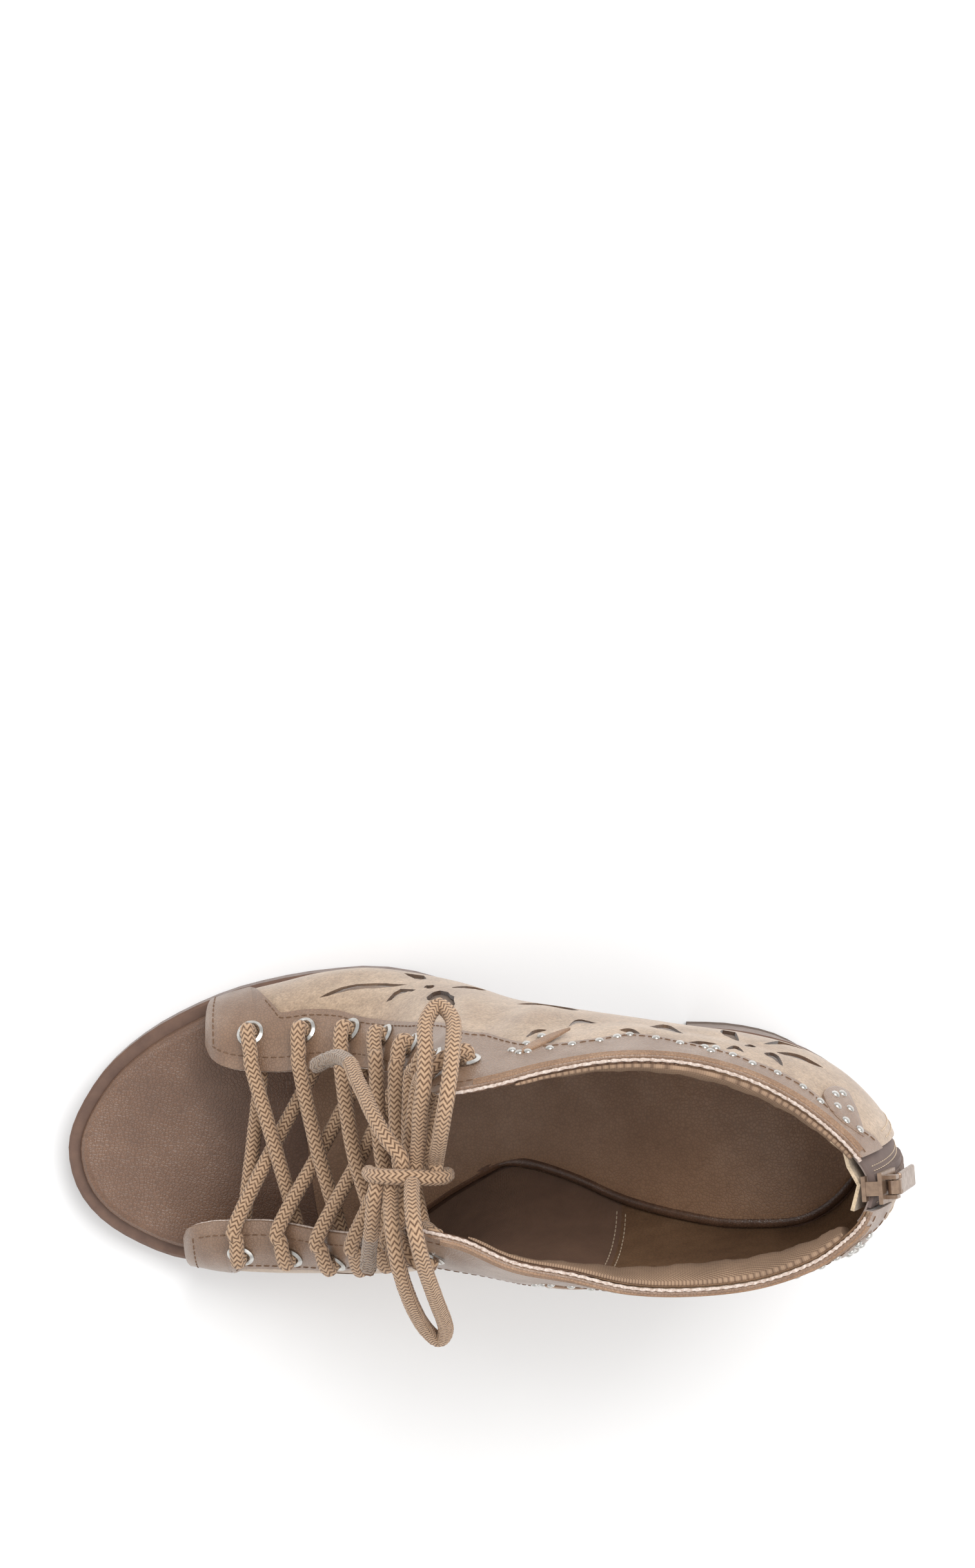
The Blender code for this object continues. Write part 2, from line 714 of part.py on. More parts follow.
def zip_tape(material, group):
    half = SLOT_WIDTH / 2 - 2.5 * GAP
    coil = COIL_WIDTH / 2
    full = TAPE + COIL_RISE
    step = 0.0002
    across = [(half, TAPE, 0), ((half + coil) / 2, TAPE, 0), (coil + step, TAPE, 0)]
    across += [(coil, full, 0), (-coil, full, 0)]
    across += [(-coil - step, TAPE, 0), (-(half + coil) / 2, TAPE, 0), (-half, TAPE, 0)]
    bottom = SLOT_BOTTOM + SLOT_WIDTH / 2
    top = back_top() - TAPE_DROP
    return sheet("zip_tape", back_strip(across, bottom, top, 9), material, group)


def zip_guard(material, group):
    """A flap sewn to the lining on the outer side, standing clear of the slider."""
    half = GUARD_WIDTH / 2
    seat = -GUARD - 2 * GAP
    clear = -GUARD - GUARD_CLEAR
    across = [
        (half + GUARD_SEAM, GUARD, seat),
        (half, GUARD, seat),
        (half - GUARD_SEAM, GUARD, clear),
        (0, GUARD, clear),
        (-half, GUARD, clear),
    ]
    bottom = SLOT_BOTTOM + SLOT_WIDTH * 0.3
    top = back_top() - TAPE_DROP
    return sheet("zip_guard", back_strip(across, bottom, top, 7), material, group)


def slider_frame():
    """Place of the slider: its origin on the tape's inner face, sideways, out and up."""
    top = back_top() - TAPE_DROP
    point, out = back_point(0, top - SLIDER_LENGTH / 2)
    upper_point, _ = back_point(0, top)
    up = (upper_point - point) / np.linalg.norm(upper_point - point)
    side = np.cross(up, out)
    side /= np.linalg.norm(side)
    out = np.cross(side, up)
    return point + up * SLIDER_LENGTH / 2, side, out, up


def frame_matrix():
    point, side, out, up = slider_frame()
    place = Matrix.Identity(4)
    for column, axis in enumerate((side, out, up)):
        for row in range(3):
            place[row][column] = axis[row]
    return Matrix.Translation(Vector(point)) @ place


def block(name, size, centre, group):
    mesh = bpy.data.meshes.new(name)
    builder = bmesh.new()
    bmesh.ops.create_cube(builder, size=1.0)
    for corner in builder.verts:
        corner.co = Vector([corner.co[i] * size[i] + centre[i] for i in range(3)])
    builder.to_mesh(mesh)
    builder.free()
    item = bpy.data.objects.new(name, mesh)
    group.objects.link(item)
    return item


def rod(name, radius, length, centre, group, segments=12):
    """A round bar lying across the zip."""
    mesh = bpy.data.meshes.new(name)
    builder = bmesh.new()
    place = Matrix.Translation(Vector(centre)) @ Matrix.Rotation(math.pi / 2, 4, "Y")
    bmesh.ops.create_cone(
        builder, cap_ends=True, segments=segments, radius1=radius, radius2=radius,
        depth=length, matrix=place,
    )
    builder.to_mesh(mesh)
    builder.free()
    item = bpy.data.objects.new(name, mesh)
    group.objects.link(item)
    return item


def join(item, others):
    for other in others:
        other.hide_render = True
        other.display_type = "WIRE"
        boolean = item.modifiers.new("with " + other.name, "BOOLEAN")
        boolean.operation = "UNION"
        boolean.solver = "EXACT"
        boolean.object = other


def zip_slider(material, group, cutters):
    """Two plates either side of the tape, joined over its top, with ears for the pull."""
    inner = -PLATE_CLEAR - PLATE
    outer = TAPE + COIL_RISE + PLATE_CLEAR
    above = PLATE_CLEAR + SLIDER_CROWN
    item = block(
        "zip_slider",
        (SLIDER_WIDTH, PLATE, SLIDER_LENGTH + above),
        (0, outer + PLATE / 2, (above - SLIDER_LENGTH) / 2),
        group,
    )
    back = block(
        "slider_inner_plate",
        (SLIDER_WIDTH * 0.8, PLATE, SLIDER_LENGTH * 0.7 + above),
        (0, inner + PLATE / 2, (above - SLIDER_LENGTH * 0.7) / 2),
        cutters,
    )
    bridge = block(
        "slider_bridge",
        (SLIDER_WIDTH * 0.45, outer - inner + PLATE * 0.9, SLIDER_CROWN * 0.8),
        (0, (outer + inner + PLATE) / 2, PLATE_CLEAR + SLIDER_CROWN * 0.5),
        cutters,
    )
    pieces = [back, bridge]
    reach = EYE_RADIUS + GAP
    for sign in (-1, 1):
        pieces.append(
            block(
                "slider_ear",
                (EAR, reach + PIN, 2.0 * PIN),
                (
                    sign * (EYE_WIDTH / 2 + GAP + EAR / 2),
                    outer + PLATE + (reach + PIN) / 2 - PLATE * 0.4,
                    PIVOT_DROP,
                ),
                cutters,
            )
        )
    length = EYE_WIDTH + 2 * GAP + EAR
    pieces.append(rod("slider_pin", PIN / 2, length, pivot_point(), cutters))
    join(item, pieces)
    item.data.materials.append(material)
    place = frame_matrix()
    for piece in [item, *pieces]:
        piece.matrix_world = place
    return item


def pivot_point():
    """Middle of the pin in the slider's own frame."""
    outer = TAPE + COIL_RISE + PLATE_CLEAR
    return (0, outer + PLATE + EYE_RADIUS + GAP, PIVOT_DROP)


def zip_pull(material, group, cutters):
    """A flat tab that hangs from the pin down the back, turning on it."""
    item = rod("zip_pull", EYE_RADIUS, EYE_WIDTH, (0, 0, 0), group, 16)
    tab = block(
        "pull_tab_plate",
        (EYE_WIDTH * 0.85, PULL_THICK, PULL_LENGTH * 0.3),
        (0, 0, -PULL_LENGTH * 0.15),
        cutters,
    )
    wide = block(
        "pull_tab_end",
        (PULL_WIDTH, PULL_THICK, PULL_LENGTH * 0.76),
        (0, 0, -PULL_LENGTH * 0.62),
        cutters,
    )
    bevel = wide.modifiers.new("rounded corners", "BEVEL")
    bevel.width = PULL_THICK * 0.4
    bevel.segments = 2
    join(item, [tab, wide])
    bore = rod("pull_bore", PIN / 2 + PIN_CLEARANCE, EYE_WIDTH * 2, (0, 0, 0), cutters)
    cut(item, bore, "pin bore")
    item.data.materials.append(material)
    place = frame_matrix() @ Matrix.Translation(Vector(pivot_point()))
    hang = Matrix.Rotation(PULL_LEAN, 4, "X")
    for piece in (item, tab, wide, bore):
        piece.matrix_world = place @ hang
    return item


# Lace


def along_route(points, spacing):
    """A route's own points made into a smooth line with even spacing."""
    fine = [spline(points, (len(points) - 1) * i / 200) for i in range(201)]
    length = sum(np.linalg.norm(b - a) for a, b in zip(fine, fine[1:]))
    count = max(3, int(round(length / spacing)))
    gone, line, target = 0.0, [fine[0]], length / count
    for a, b in zip(fine, fine[1:]):
        gone += np.linalg.norm(b - a)
        if gone >= target * len(line) and len(line) < count:
            line.append(b)
    line.append(fine[-1])
    return line


def cord(name, points, material, group, spacing=LACE * 1.6):
    """A round cord along a route, with flat ends."""
    line = along_route([np.asarray(p, float) for p in points], spacing)
    curve = bpy.data.curves.new(name, "CURVE")
    curve.dimensions = "3D"
    curve.bevel_depth = LACE / 2
    curve.bevel_resolution = 2
    curve.use_fill_caps = True
    track = curve.splines.new("POLY")
    track.points.add(len(line) - 1)
    for point, place in zip(track.points, line):
        point.co = (*place, 1.0)
    curve.materials.append(material)
    item = bpy.data.objects.new(name, curve)
    group.objects.link(item)
    return item


def as_mesh(item, group):
    """The cord as a closed mesh, ready to be joined with others."""
    graph = bpy.context.evaluated_depsgraph_get()
    mesh = bpy.data.meshes.new_from_object(item.evaluated_get(graph))
    builder = bmesh.new()
    builder.from_mesh(mesh)
    bmesh.ops.remove_doubles(builder, verts=builder.verts, dist=0.00001)
    bmesh.ops.recalc_face_normals(builder, faces=builder.faces)
    builder.to_mesh(mesh)
    builder.free()
    name = item.name
    solid = bpy.data.objects.new(name + "_solid", mesh)
    solid.matrix_world = item.matrix_world
    bpy.data.objects.remove(item, do_unlink=True)
    solid.name = name
    group.objects.link(solid)
    return solid


def millimetres(points):
    return [np.array(p, float) / 1000 for p in points]


def lace_way(side, number, offsets):
    """Points over or under the leather from an eyelet to the edge where the lace leaves it."""
    row = EYELET_ROWS[number - 1]
    at, edge_at = (row[0], row[3]) if side == "outer" else (row[1], row[4])
    v = drop_from_edge(at, row[2])
    points = []
    for share, offset in zip((0.0, 0.5, 1.0), offsets):
        place = at + (edge_at - at) * share, v + (1 - v) * share
        points.append(wall(*place) + wall_normal(*place) * offset)
    return points


def over_leather(side, number):
    lift = WALL + LACE / 2 + 3 * GAP
    crown = lift + EYELET_SEAT + EYELET_CROWN + GAP
    return lace_way(side, number, (crown, crown, lift))


def under_leather(side, number):
    drop = LACE / 2 + 3 * GAP
    return lace_way(side, number, (-drop - GAP, -drop, -drop))[::-1]


def lace_crossings(material, group, cutters):
    for number in range(1, EYELETS):
        above = [over_leather(side, number) for side in ("outer", "inner")]
        below = [under_leather(side, number + 1) for side in ("inner", "outer")]
        middle = (above[0][-1] + above[1][-1] + below[0][0] + below[1][0]) / 4
        up = below[0][0] + below[1][0] - above[0][-1] - above[1][-1]
        out = np.cross(up, above[0][-1] - above[1][-1])
        step = out / np.linalg.norm(out) * LACE * 0.4
        name = f"lace_cross_{number}"
        top = cord(name, [*above[0], middle + step, *below[0]], material, group)
        low = cord(name + "_low", [*above[1], middle - step, *below[1]], material, cutters)
        solid = as_mesh(top, group)
        join(solid, [as_mesh(low, cutters)])


def lace_bar(material, group):
    """The first bar, hidden under both facings."""
    left, right = under_leather("outer", 1), under_leather("inner", 1)
    sag = np.array([0, 0, -LACE * 0.5])
    middle = (left[0] + right[0]) / 2 + sag
    route = [left[2], left[0] + sag * 0.5, middle, right[0] + sag * 0.5, right[2]]
    return cord("lace_bar", route, material, group)


def lace_gather(material, group, cutters):
    """The two bars from the top eyelets, drawn together under the knot."""
    knot = millimetres([KNOT_MIDDLE])[0]
    solids = []
    for side, sign, home in (("outer", 1, group), ("inner", -1, cutters)):
        over = over_leather(side, EYELETS)
        finish_at = knot + np.array([0, -sign * LACE * 0.8, sign * LACE * 0.1])
        middle = over[-1] * 0.45 + finish_at * 0.55
        name = "lace_gather" if side == "outer" else "lace_gather_low"
        solids.append(as_mesh(cord(name, [*over, middle, finish_at], material, home), home))
    join(solids[0], solids[1:])


def bow(material, group):
    for name, points in (
        ("lace_loop_tall", TALL_LOOP),
        ("lace_loop_low", LOW_LOOP),
        ("lace_end_long", LONG_END),
        ("lace_end_short", SHORT_END),
        ("lace_knot", KNOT_WRAP),
    ):
        cord(name, millimetres(points), material, group, LACE * 1.2)


def main():
    clear_scene()
    boot = collection("open_toe_ankle_boot")
    cutters = collection("cutters")
    brown = finish("sole brown", (0.17, 0.10, 0.075), 0.5)
    wrap = finish("footbed leather", (0.27, 0.18, 0.13), 0.45)
    heel = finish("heel wrap", (0.20, 0.13, 0.10), 0.5)
    rubber = finish("top lift rubber", (0.05, 0.04, 0.035), 0.8)
    suede = finish("suede", (0.50, 0.38, 0.27), 0.95)
    silver = finish("eyelet metal", (0.80, 0.79, 0.76), 0.2, 1.0)
    tape = finish("zip tape", (0.36, 0.30, 0.28), 0.8)
    slider = finish("coated slider metal", (0.36, 0.27, 0.21), 0.35)
    leather = finish("guard leather", (0.45, 0.34, 0.25), 0.6)
    cotton = finish("lace cotton", (0.40, 0.27, 0.16), 0.9)
    outsole(brown, boot)
    heel_block(heel, boot)
    top_lift(rubber, boot)
    footbed(wrap, boot)
    upper(suede, boot, cutters)
    eyelets(silver, boot)
    zip_tape(tape, boot)
    zip_guard(leather, boot)
    zip_slider(slider, boot, cutters)
    zip_pull(slider, boot, cutters)
    lace_bar(cotton, boot)
    lace_crossings(cotton, boot, cutters)
    lace_gather(cotton, boot, cutters)
    bow(cotton, boot)


main()
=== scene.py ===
import math

import bmesh
import bpy
import numpy as np
from mathutils import Matrix, Vector
from mathutils.bvhtree import BVHTree


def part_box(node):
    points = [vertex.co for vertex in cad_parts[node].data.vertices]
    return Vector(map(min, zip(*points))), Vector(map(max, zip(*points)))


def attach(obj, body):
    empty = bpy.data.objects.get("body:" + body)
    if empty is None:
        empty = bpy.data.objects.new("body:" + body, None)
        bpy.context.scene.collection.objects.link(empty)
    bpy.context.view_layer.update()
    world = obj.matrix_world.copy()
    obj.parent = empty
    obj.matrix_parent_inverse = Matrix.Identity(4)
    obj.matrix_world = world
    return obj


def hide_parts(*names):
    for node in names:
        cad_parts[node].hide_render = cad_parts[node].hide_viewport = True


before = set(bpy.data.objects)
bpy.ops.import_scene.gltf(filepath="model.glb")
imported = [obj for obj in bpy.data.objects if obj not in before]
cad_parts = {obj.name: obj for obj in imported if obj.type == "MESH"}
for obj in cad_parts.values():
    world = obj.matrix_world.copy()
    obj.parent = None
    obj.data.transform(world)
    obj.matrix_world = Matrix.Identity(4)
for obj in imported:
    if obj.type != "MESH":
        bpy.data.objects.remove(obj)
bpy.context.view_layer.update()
boot = "boot"  # body that carries everything but the pull tab
millimetre = 0.001

# Camera. The photograph was taken from almost straight above, leaning to the outer side.
photo = {"width": 1512, "height": 2432, "pixelsPerUnit": 7430}
cameraSet = {"place": (0.0140, 0.1766, 1.35), "lean": -3.659, "turn": -3.2, "frameHeight": 36.0}


def makeCamera():
    data = bpy.data.cameras.new("camera")
    data.sensor_fit = "VERTICAL"
    data.sensor_height = cameraSet["frameHeight"]
    data.lens = photo["pixelsPerUnit"] / photo["height"] * cameraSet["frameHeight"]
    item = bpy.data.objects.new("camera", data)
    item.location = cameraSet["place"]
    item.rotation_euler = (math.radians(cameraSet["lean"]), 0, math.radians(cameraSet["turn"]))
    bpy.context.scene.collection.objects.link(item)
    bpy.context.scene.camera = item
    bpy.context.view_layer.update()
    return item


camera = makeCamera()


def photoRay(pixel):
    across = (pixel[0] - photo["width"] / 2) / photo["pixelsPerUnit"]
    down = (pixel[1] - photo["height"] / 2) / photo["pixelsPerUnit"]
    turn = camera.matrix_world.to_3x3()
    return camera.matrix_world.translation, (turn @ Vector((across, -down, -1))).normalized()


# Shape of the shoe, from the same named sizes as its solids
shoe = {
    "toeX": -0.1141,
    "soleLength": 0.2230,
    "ballWidth": 0.0880,
    "foreSole": 0.0090,
    "pitch": 0.0715,
    "collarHeight": 0.1440,
    "heelMiddle": (0.0713, -0.0025),
    "featherInset": 0.0028,
    "footLift": 0.0016,
}
# along is a share of the sole's length, outer and inner are half widths as shares of the ball
# width, top and under are heights as shares of the pitch
soleRows = [
    # along, outer, inner, top, under
    (0.0000, -0.068, 0.068, 0.063, 0.070),
    (0.0152, 0.063, 0.220, 0.055, 0.060),
    (0.0668, 0.227, 0.352, 0.029, 0.027),
    (0.1435, 0.347, 0.441, 0.006, 0.000),
    (0.2395, 0.430, 0.473, 0.000, 0.000),
    (0.3290, 0.461, 0.469, 0.000, 0.000),
    (0.3830, 0.466, 0.440, 0.008, 0.000),
    (0.4190, 0.459, 0.405, 0.042, 0.028),
    (0.5085, 0.409, 0.259, 0.210, 0.259),
    (0.5670, 0.364, 0.186, 0.357, 0.420),
    (0.6250, 0.330, 0.218, 0.515, 0.582),
    (0.6880, 0.313, 0.282, 0.674, 0.741),
    (0.7550, 0.307, 0.320, 0.820, 0.887),
    (0.8220, 0.295, 0.345, 0.917, 0.985),
    (0.8900, 0.256, 0.345, 0.968, 1.035),
    (0.9435, 0.182, 0.293, 0.987, 1.055),
    (0.9790, 0.085, 0.205, 0.996, 1.063),
    (1.0000, -0.068, 0.068, 1.000, 1.067),
]
# foot is a share of the sole's length, side is 1 outer or -1 inner. along, across and height
# place the top edge, as shares of the sole's length, the ball width and the collar height. The
# swells push the wall out, and the rises and drops place them up and down.
upperRows = [
    # foot, side, along, across, height, low swell, low rise, high swell, high drop
    (0.190, 1, 0.195, 0.278, 0.207, 0.045, 0.50, 0.057, 0.10),
    (0.197, 1, 0.207, 0.230, 0.257, 0.057, 0.50, 0.102, 0.06),
    (0.213, 1, 0.229, 0.207, 0.280, 0.063, 0.50, 0.142, 0.05),
    (0.275, 1, 0.284, 0.199, 0.307, 0.068, 0.48, 0.170, 0.03),
    (0.329, 1, 0.325, 0.212, 0.340, 0.105, 0.45, 0.170, 0.05),
    (0.387, 1, 0.370, 0.218, 0.407, 0.125, 0.42, 0.160, 0.12),
    (0.446, 1, 0.414, 0.222, 0.520, 0.130, 0.38, 0.150, 0.20),
    (0.500, 1, 0.447, 0.224, 0.667, 0.150, 0.36, 0.170, 0.25),
    (0.544, 1, 0.475, 0.232, 0.853, 0.165, 0.33, 0.150, 0.30),
    (0.580, 1, 0.491, 0.233, 1.000, 0.175, 0.33, 0.120, 0.30),
    (0.616, 1, 0.544, 0.250, 1.007, 0.175, 0.33, 0.100, 0.30),
    (0.661, 1, 0.605, 0.280, 1.000, 0.160, 0.33, 0.065, 0.33),
    (0.715, 1, 0.682, 0.298, 0.987, 0.122, 0.33, 0.040, 0.33),
    (0.778, 1, 0.755, 0.283, 0.987, 0.080, 0.33, 0.040, 0.33),
    (0.840, 1, 0.822, 0.234, 1.000, 0.068, 0.33, 0.051, 0.33),
    (0.903, 1, 0.876, 0.160, 1.013, 0.074, 0.33, 0.068, 0.33),
    (0.952, 1, 0.919, 0.070, 1.023, 0.085, 0.33, 0.088, 0.33),
    (0.986, 1, 0.946, -0.010, 1.033, 0.098, 0.33, 0.108, 0.33),
    (1.000, 1, 0.958, -0.090, 1.037, 0.108, 0.33, 0.116, 0.33),
    (0.986, -1, 0.949, -0.168, 1.033, 0.104, 0.33, 0.110, 0.33),
    (0.952, -1, 0.928, -0.226, 1.020, 0.085, 0.33, 0.091, 0.33),
    (0.903, -1, 0.890, -0.287, 1.013, 0.065, 0.33, 0.065, 0.33),
    (0.840, -1, 0.831, -0.335, 1.000, 0.051, 0.33, 0.045, 0.33),
    (0.778, -1, 0.760, -0.351, 0.987, 0.068, 0.33, 0.034, 0.33),
    (0.719, -1, 0.688, -0.336, 0.987, 0.118, 0.33, 0.057, 0.33),
    (0.665, -1, 0.621, -0.285, 0.993, 0.165, 0.33, 0.120, 0.33),
    (0.616, -1, 0.557, -0.241, 1.000, 0.205, 0.33, 0.170, 0.30),
    (0.571, -1, 0.504, -0.170, 1.007, 0.240, 0.33, 0.230, 0.30),
    (0.531, -1, 0.459, -0.137, 1.000, 0.225, 0.33, 0.230, 0.30),
    (0.495, -1, 0.439, -0.177, 0.813, 0.190, 0.34, 0.215, 0.28),
    (0.459, -1, 0.413, -0.232, 0.633, 0.170, 0.36, 0.190, 0.24),
    (0.414, -1, 0.372, -0.270, 0.480, 0.135, 0.40, 0.150, 0.15),
    (0.361, -1, 0.326, -0.281, 0.373, 0.108, 0.44, 0.136, 0.08),
    (0.316, -1, 0.291, -0.273, 0.327, 0.085, 0.47, 0.136, 0.04),
    (0.266, -1, 0.255, -0.264, 0.293, 0.068, 0.50, 0.148, 0.03),
    (0.208, -1, 0.204, -0.264, 0.267, 0.051, 0.50, 0.136, 0.04),
    (0.177, -1, 0.183, -0.268, 0.253, 0.045, 0.50, 0.125, 0.05),
    (0.154, -1, 0.163, -0.285, 0.230, 0.040, 0.50, 0.091, 0.08),
    (0.145, -1, 0.152, -0.339, 0.180, 0.034, 0.50, 0.051, 0.10),
]
lastSection = len(upperRows) - 1
backSection = 18.0
walls = {"lining": 0.0006, "suede": 0.0018, "smooth": 0.0026}  # offsets out of the inner face


def smoothRow(xs, ys, x):
    # a curve through the rows that never overshoots them
    xs, ys = np.asarray(xs, float), np.asarray(ys, float)
    step = np.diff(xs)
    rise = np.diff(ys) / step
    slope = np.zeros(len(xs))
    slope[0], slope[-1] = rise[0], rise[-1]
    for i in range(1, len(xs) - 1):
        if rise[i - 1] * rise[i] > 0:
            a, b = 2 * step[i] + step[i - 1], step[i] + 2 * step[i - 1]
            slope[i] = (a + b) / (a / rise[i - 1] + b / rise[i])
    i = int(np.clip(np.searchsorted(xs, x) - 1, 0, len(xs) - 2))
    t, h = (x - xs[i]) / step[i], step[i]
    return float(
        ys[i] * (1 + 2 * t) * (1 - t) ** 2 + h * slope[i] * t * (1 - t) ** 2
        + ys[i + 1] * t * t * (3 - 2 * t) + h * slope[i + 1] * t * t * (t - 1)
    )


def softCurve(points, u):
    last = len(points) - 1
    i = int(min(max(math.floor(u), 0), last - 1))
    t = u - i
    p1, p2 = points[i], points[i + 1]
    p0 = points[i - 1] if i > 0 else 2 * p1 - p2
    p3 = points[i + 2] if i + 2 <= last else 2 * p2 - p1
    return 0.5 * (
        2 * p1 + (p2 - p0) * t + (2 * p0 - 5 * p1 + 4 * p2 - p3) * t * t
        + (3 * p1 - p0 - 3 * p2 + p3) * t ** 3
    )


soleTurns = [math.acos(1 - 2 * row[0]) for row in soleRows]


def soleEdge(turn):
    half = turn if turn <= math.pi else 2 * math.pi - turn
    x = shoe["toeX"] + shoe["soleLength"] * (1 - math.cos(half)) / 2
    column, sign = (1, 1) if turn <= math.pi else (2, -1)
    across = smoothRow(soleTurns, [row[column] for row in soleRows], half)
    return np.array([x, sign * shoe["ballWidth"] * across])


def insetEdge(turn, inset):
    step = 0.03
    way = soleEdge((turn + step) % (2 * math.pi)) - soleEdge((turn - step) % (2 * math.pi))
    way /= np.linalg.norm(way)
    return soleEdge(turn) - np.array([-way[1], way[0]]) * inset


def turnAt(along, side):
    turn = math.acos(min(1.0, max(-1.0, 1 - 2 * along)))
    return turn if side > 0 else 2 * math.pi - turn


def soleTop(x):
    share = min(1.0, max(0.0, (x - shoe["toeX"]) / shoe["soleLength"]))
    top = smoothRow([row[0] for row in soleRows], [row[3] for row in soleRows], share)
    return shoe["foreSole"] + shoe["pitch"] * top


def straightOut(point, side):
    middle = shoe["heelMiddle"]
    if point[0] <= middle[0]:
        return np.array([0.0, float(side), 0.0])
    away = np.array([point[0] - middle[0], point[1] - middle[1], 0.0])
    return away / np.linalg.norm(away)


def wallRails():
    turns, low, high, top = [], [], [], []
    width = shoe["ballWidth"]
    for foot, side, along, across, height, lowOut, lowUp, highOut, highDown in upperRows:
        turn = turnAt(foot, side)
        x, y = insetEdge(turn, shoe["featherInset"])
        start = np.array([x, y, soleTop(x) + shoe["footLift"]])
        endX = shoe["toeX"] + shoe["soleLength"] * along
        end = np.array([endX, width * across, shoe["collarHeight"] * height])
        out = straightOut(start, side)
        rise = end[2] - start[2]
        third = start + (end - start) / 3
        lowPoint = third + out * width * lowOut
        lowPoint[:2] = start[:2] * 0.6 + third[:2] * 0.4 + out[:2] * width * lowOut
        lowPoint[2] = start[2] + rise * lowUp
        highPoint = end + out * width * highOut
        highPoint[2] = end[2] - rise * highDown
        turns.append(turn)
        low.append(lowPoint)
        high.append(highPoint)
        top.append(end)
    return turns, low, high, top


footTurns, lowRail, highRail, topRail = wallRails()
railStore = {}


def railPoints(u):
    key = round(u, 5)
    if key not in railStore:
        turn = smoothRow(range(len(footTurns)), footTurns, u)
        x, y = insetEdge(turn, shoe["featherInset"])
        start = np.array([x, y, soleTop(x) + shoe["footLift"]])
        railStore[key] = [start, softCurve(lowRail, u), softCurve(highRail, u), softCurve(topRail, u)]
    return railStore[key]


def wallColumn(u, vs):
    # points of the upper's inner face at section u, vs from 0 at the foot to 1 at the top edge
    p = railPoints(min(max(u, 0), lastSection))
    v = np.asarray(vs, float)[:, None]
    w = 1 - v
    return w ** 3 * p[0] + 3 * w * w * v * p[1] + 3 * w * v * v * p[2] + v ** 3 * p[3]


def wallNormals(u, vs):
    vs = np.asarray(vs, float)
    across = wallColumn(min(u + 0.02, lastSection), vs) - wallColumn(max(u - 0.02, 0), vs)
    up = wallColumn(u, np.minimum(vs + 0.02, 1)) - wallColumn(u, np.maximum(vs - 0.02, 0))
    normals = np.cross(up, across)
    return normals / np.linalg.norm(normals, axis=1)[:, None]


def onWall(u, v, offset=0.0):
    return wallColumn(u, [v])[0] + wallNormals(u, [v])[0] * offset


def columnLength(u):
    points = wallColumn(u, np.linspace(0, 1, 41))
    return np.concatenate([[0], np.cumsum(np.linalg.norm(np.diff(points, axis=0), axis=1))])


def belowEdge(u, distance):
    # the v at a distance below the top edge, measured along the wall
    gone = columnLength(u)
    return float(np.interp(gone[-1] - distance, gone, np.linspace(0, 1, 41)))


def sectionRange(start, end, step):
    return list(np.linspace(start, end, max(2, int(round(abs(end - start) / step)) + 1)))


wallSide = {}


def makeWallFinder(side, offset):
    # a fine copy of one face of the wall, for finding places seen in the photograph
    us, vs = sectionRange(0, lastSection, 0.125), np.linspace(0, 1, 49)
    points = [wallColumn(u, vs) + wallNormals(u, vs) * offset for u in us]
    corners = [tuple(p) for column in points for p in column]
    rows = len(vs)
    faces = []
    for i in range(len(us) - 1):
        for j in range(rows - 1):
            faces.append((i * rows + j, (i + 1) * rows + j, (i + 1) * rows + j + 1, i * rows + j + 1))
    wallSide[side] = (BVHTree.FromPolygons(corners, faces), us, vs, points)


def findOnWall(pixel, side="outside"):
    # section and height of the place on the wall that the photograph shows at a pixel
    tree, us, vs, points = wallSide[side]
    start, way = photoRay(pixel)
    hit, _, index, _ = tree.ray_cast(start, way)
    if hit is None:
        return None
    i, j = divmod(index, len(vs) - 1)
    a, b, c = points[i][j], points[i + 1][j], points[i][j + 1]
    du, dv, d = b - a, c - a, np.array(hit) - a
    s = float(np.clip(np.dot(d, du) / np.dot(du, du), 0, 1))
    t = float(np.clip(np.dot(d, dv) / np.dot(dv, dv), 0, 1))
    return us[i] + (us[i + 1] - us[i]) * s, vs[j] + (vs[j + 1] - vs[j]) * t


makeWallFinder("outside", walls["suede"])
print("boot: shape of the wall ready")


# Finishes. Each material is made of its own nodes and reads object or woven-strip coordinates.
def startFinish(name):
    material = bpy.data.materials.new(name)
    material.use_nodes = True
    tree = material.node_tree
    return material, tree, tree.nodes["Principled BSDF"]


def node(tree, kind, **settings):
    made = tree.nodes.new(kind)
    for key, value in settings.items():
        if key in made.inputs.keys() or key.isdigit():
            made.inputs[int(key) if key.isdigit() else key].default_value = value
        else:
            setattr(made, key, value)
    return made


def noise(tree, where, scale, detail=3.0, roughness=0.55):
    made = tree.nodes.new("ShaderNodeTexNoise")
    made.inputs["Scale"].default_value = scale
    made.inputs["Detail"].default_value = detail
    made.inputs["Roughness"].default_value = roughness
    tree.links.new(where, made.inputs["Vector"])
    return made.outputs["Fac"]


def ramp(tree, value, *stops):
    made = tree.nodes.new("ShaderNodeValToRGB")
    while len(made.color_ramp.elements) < len(stops):
        made.color_ramp.elements.new(0.5)
    for element, (place, colour) in zip(made.color_ramp.elements, stops):
        element.position = place
        element.color = (*colour, 1) if len(colour) == 3 else colour
    tree.links.new(value, made.inputs["Fac"])
    return made.outputs["Color"]


def mixed(tree, share, first, second, blend="MIX"):
    made = tree.nodes.new("ShaderNodeMix")
    made.data_type = "RGBA"
    made.blend_type = blend
    sockets = (made.inputs["Factor"], made.inputs[6], made.inputs[7])
    for value, socket in zip((share, first, second), sockets):
        if hasattr(value, "is_output"):
            tree.links.new(value, socket)
        elif isinstance(value, tuple):
            socket.default_value = (*value, 1)
        else:
            socket.default_value = value
    return made.outputs[2]


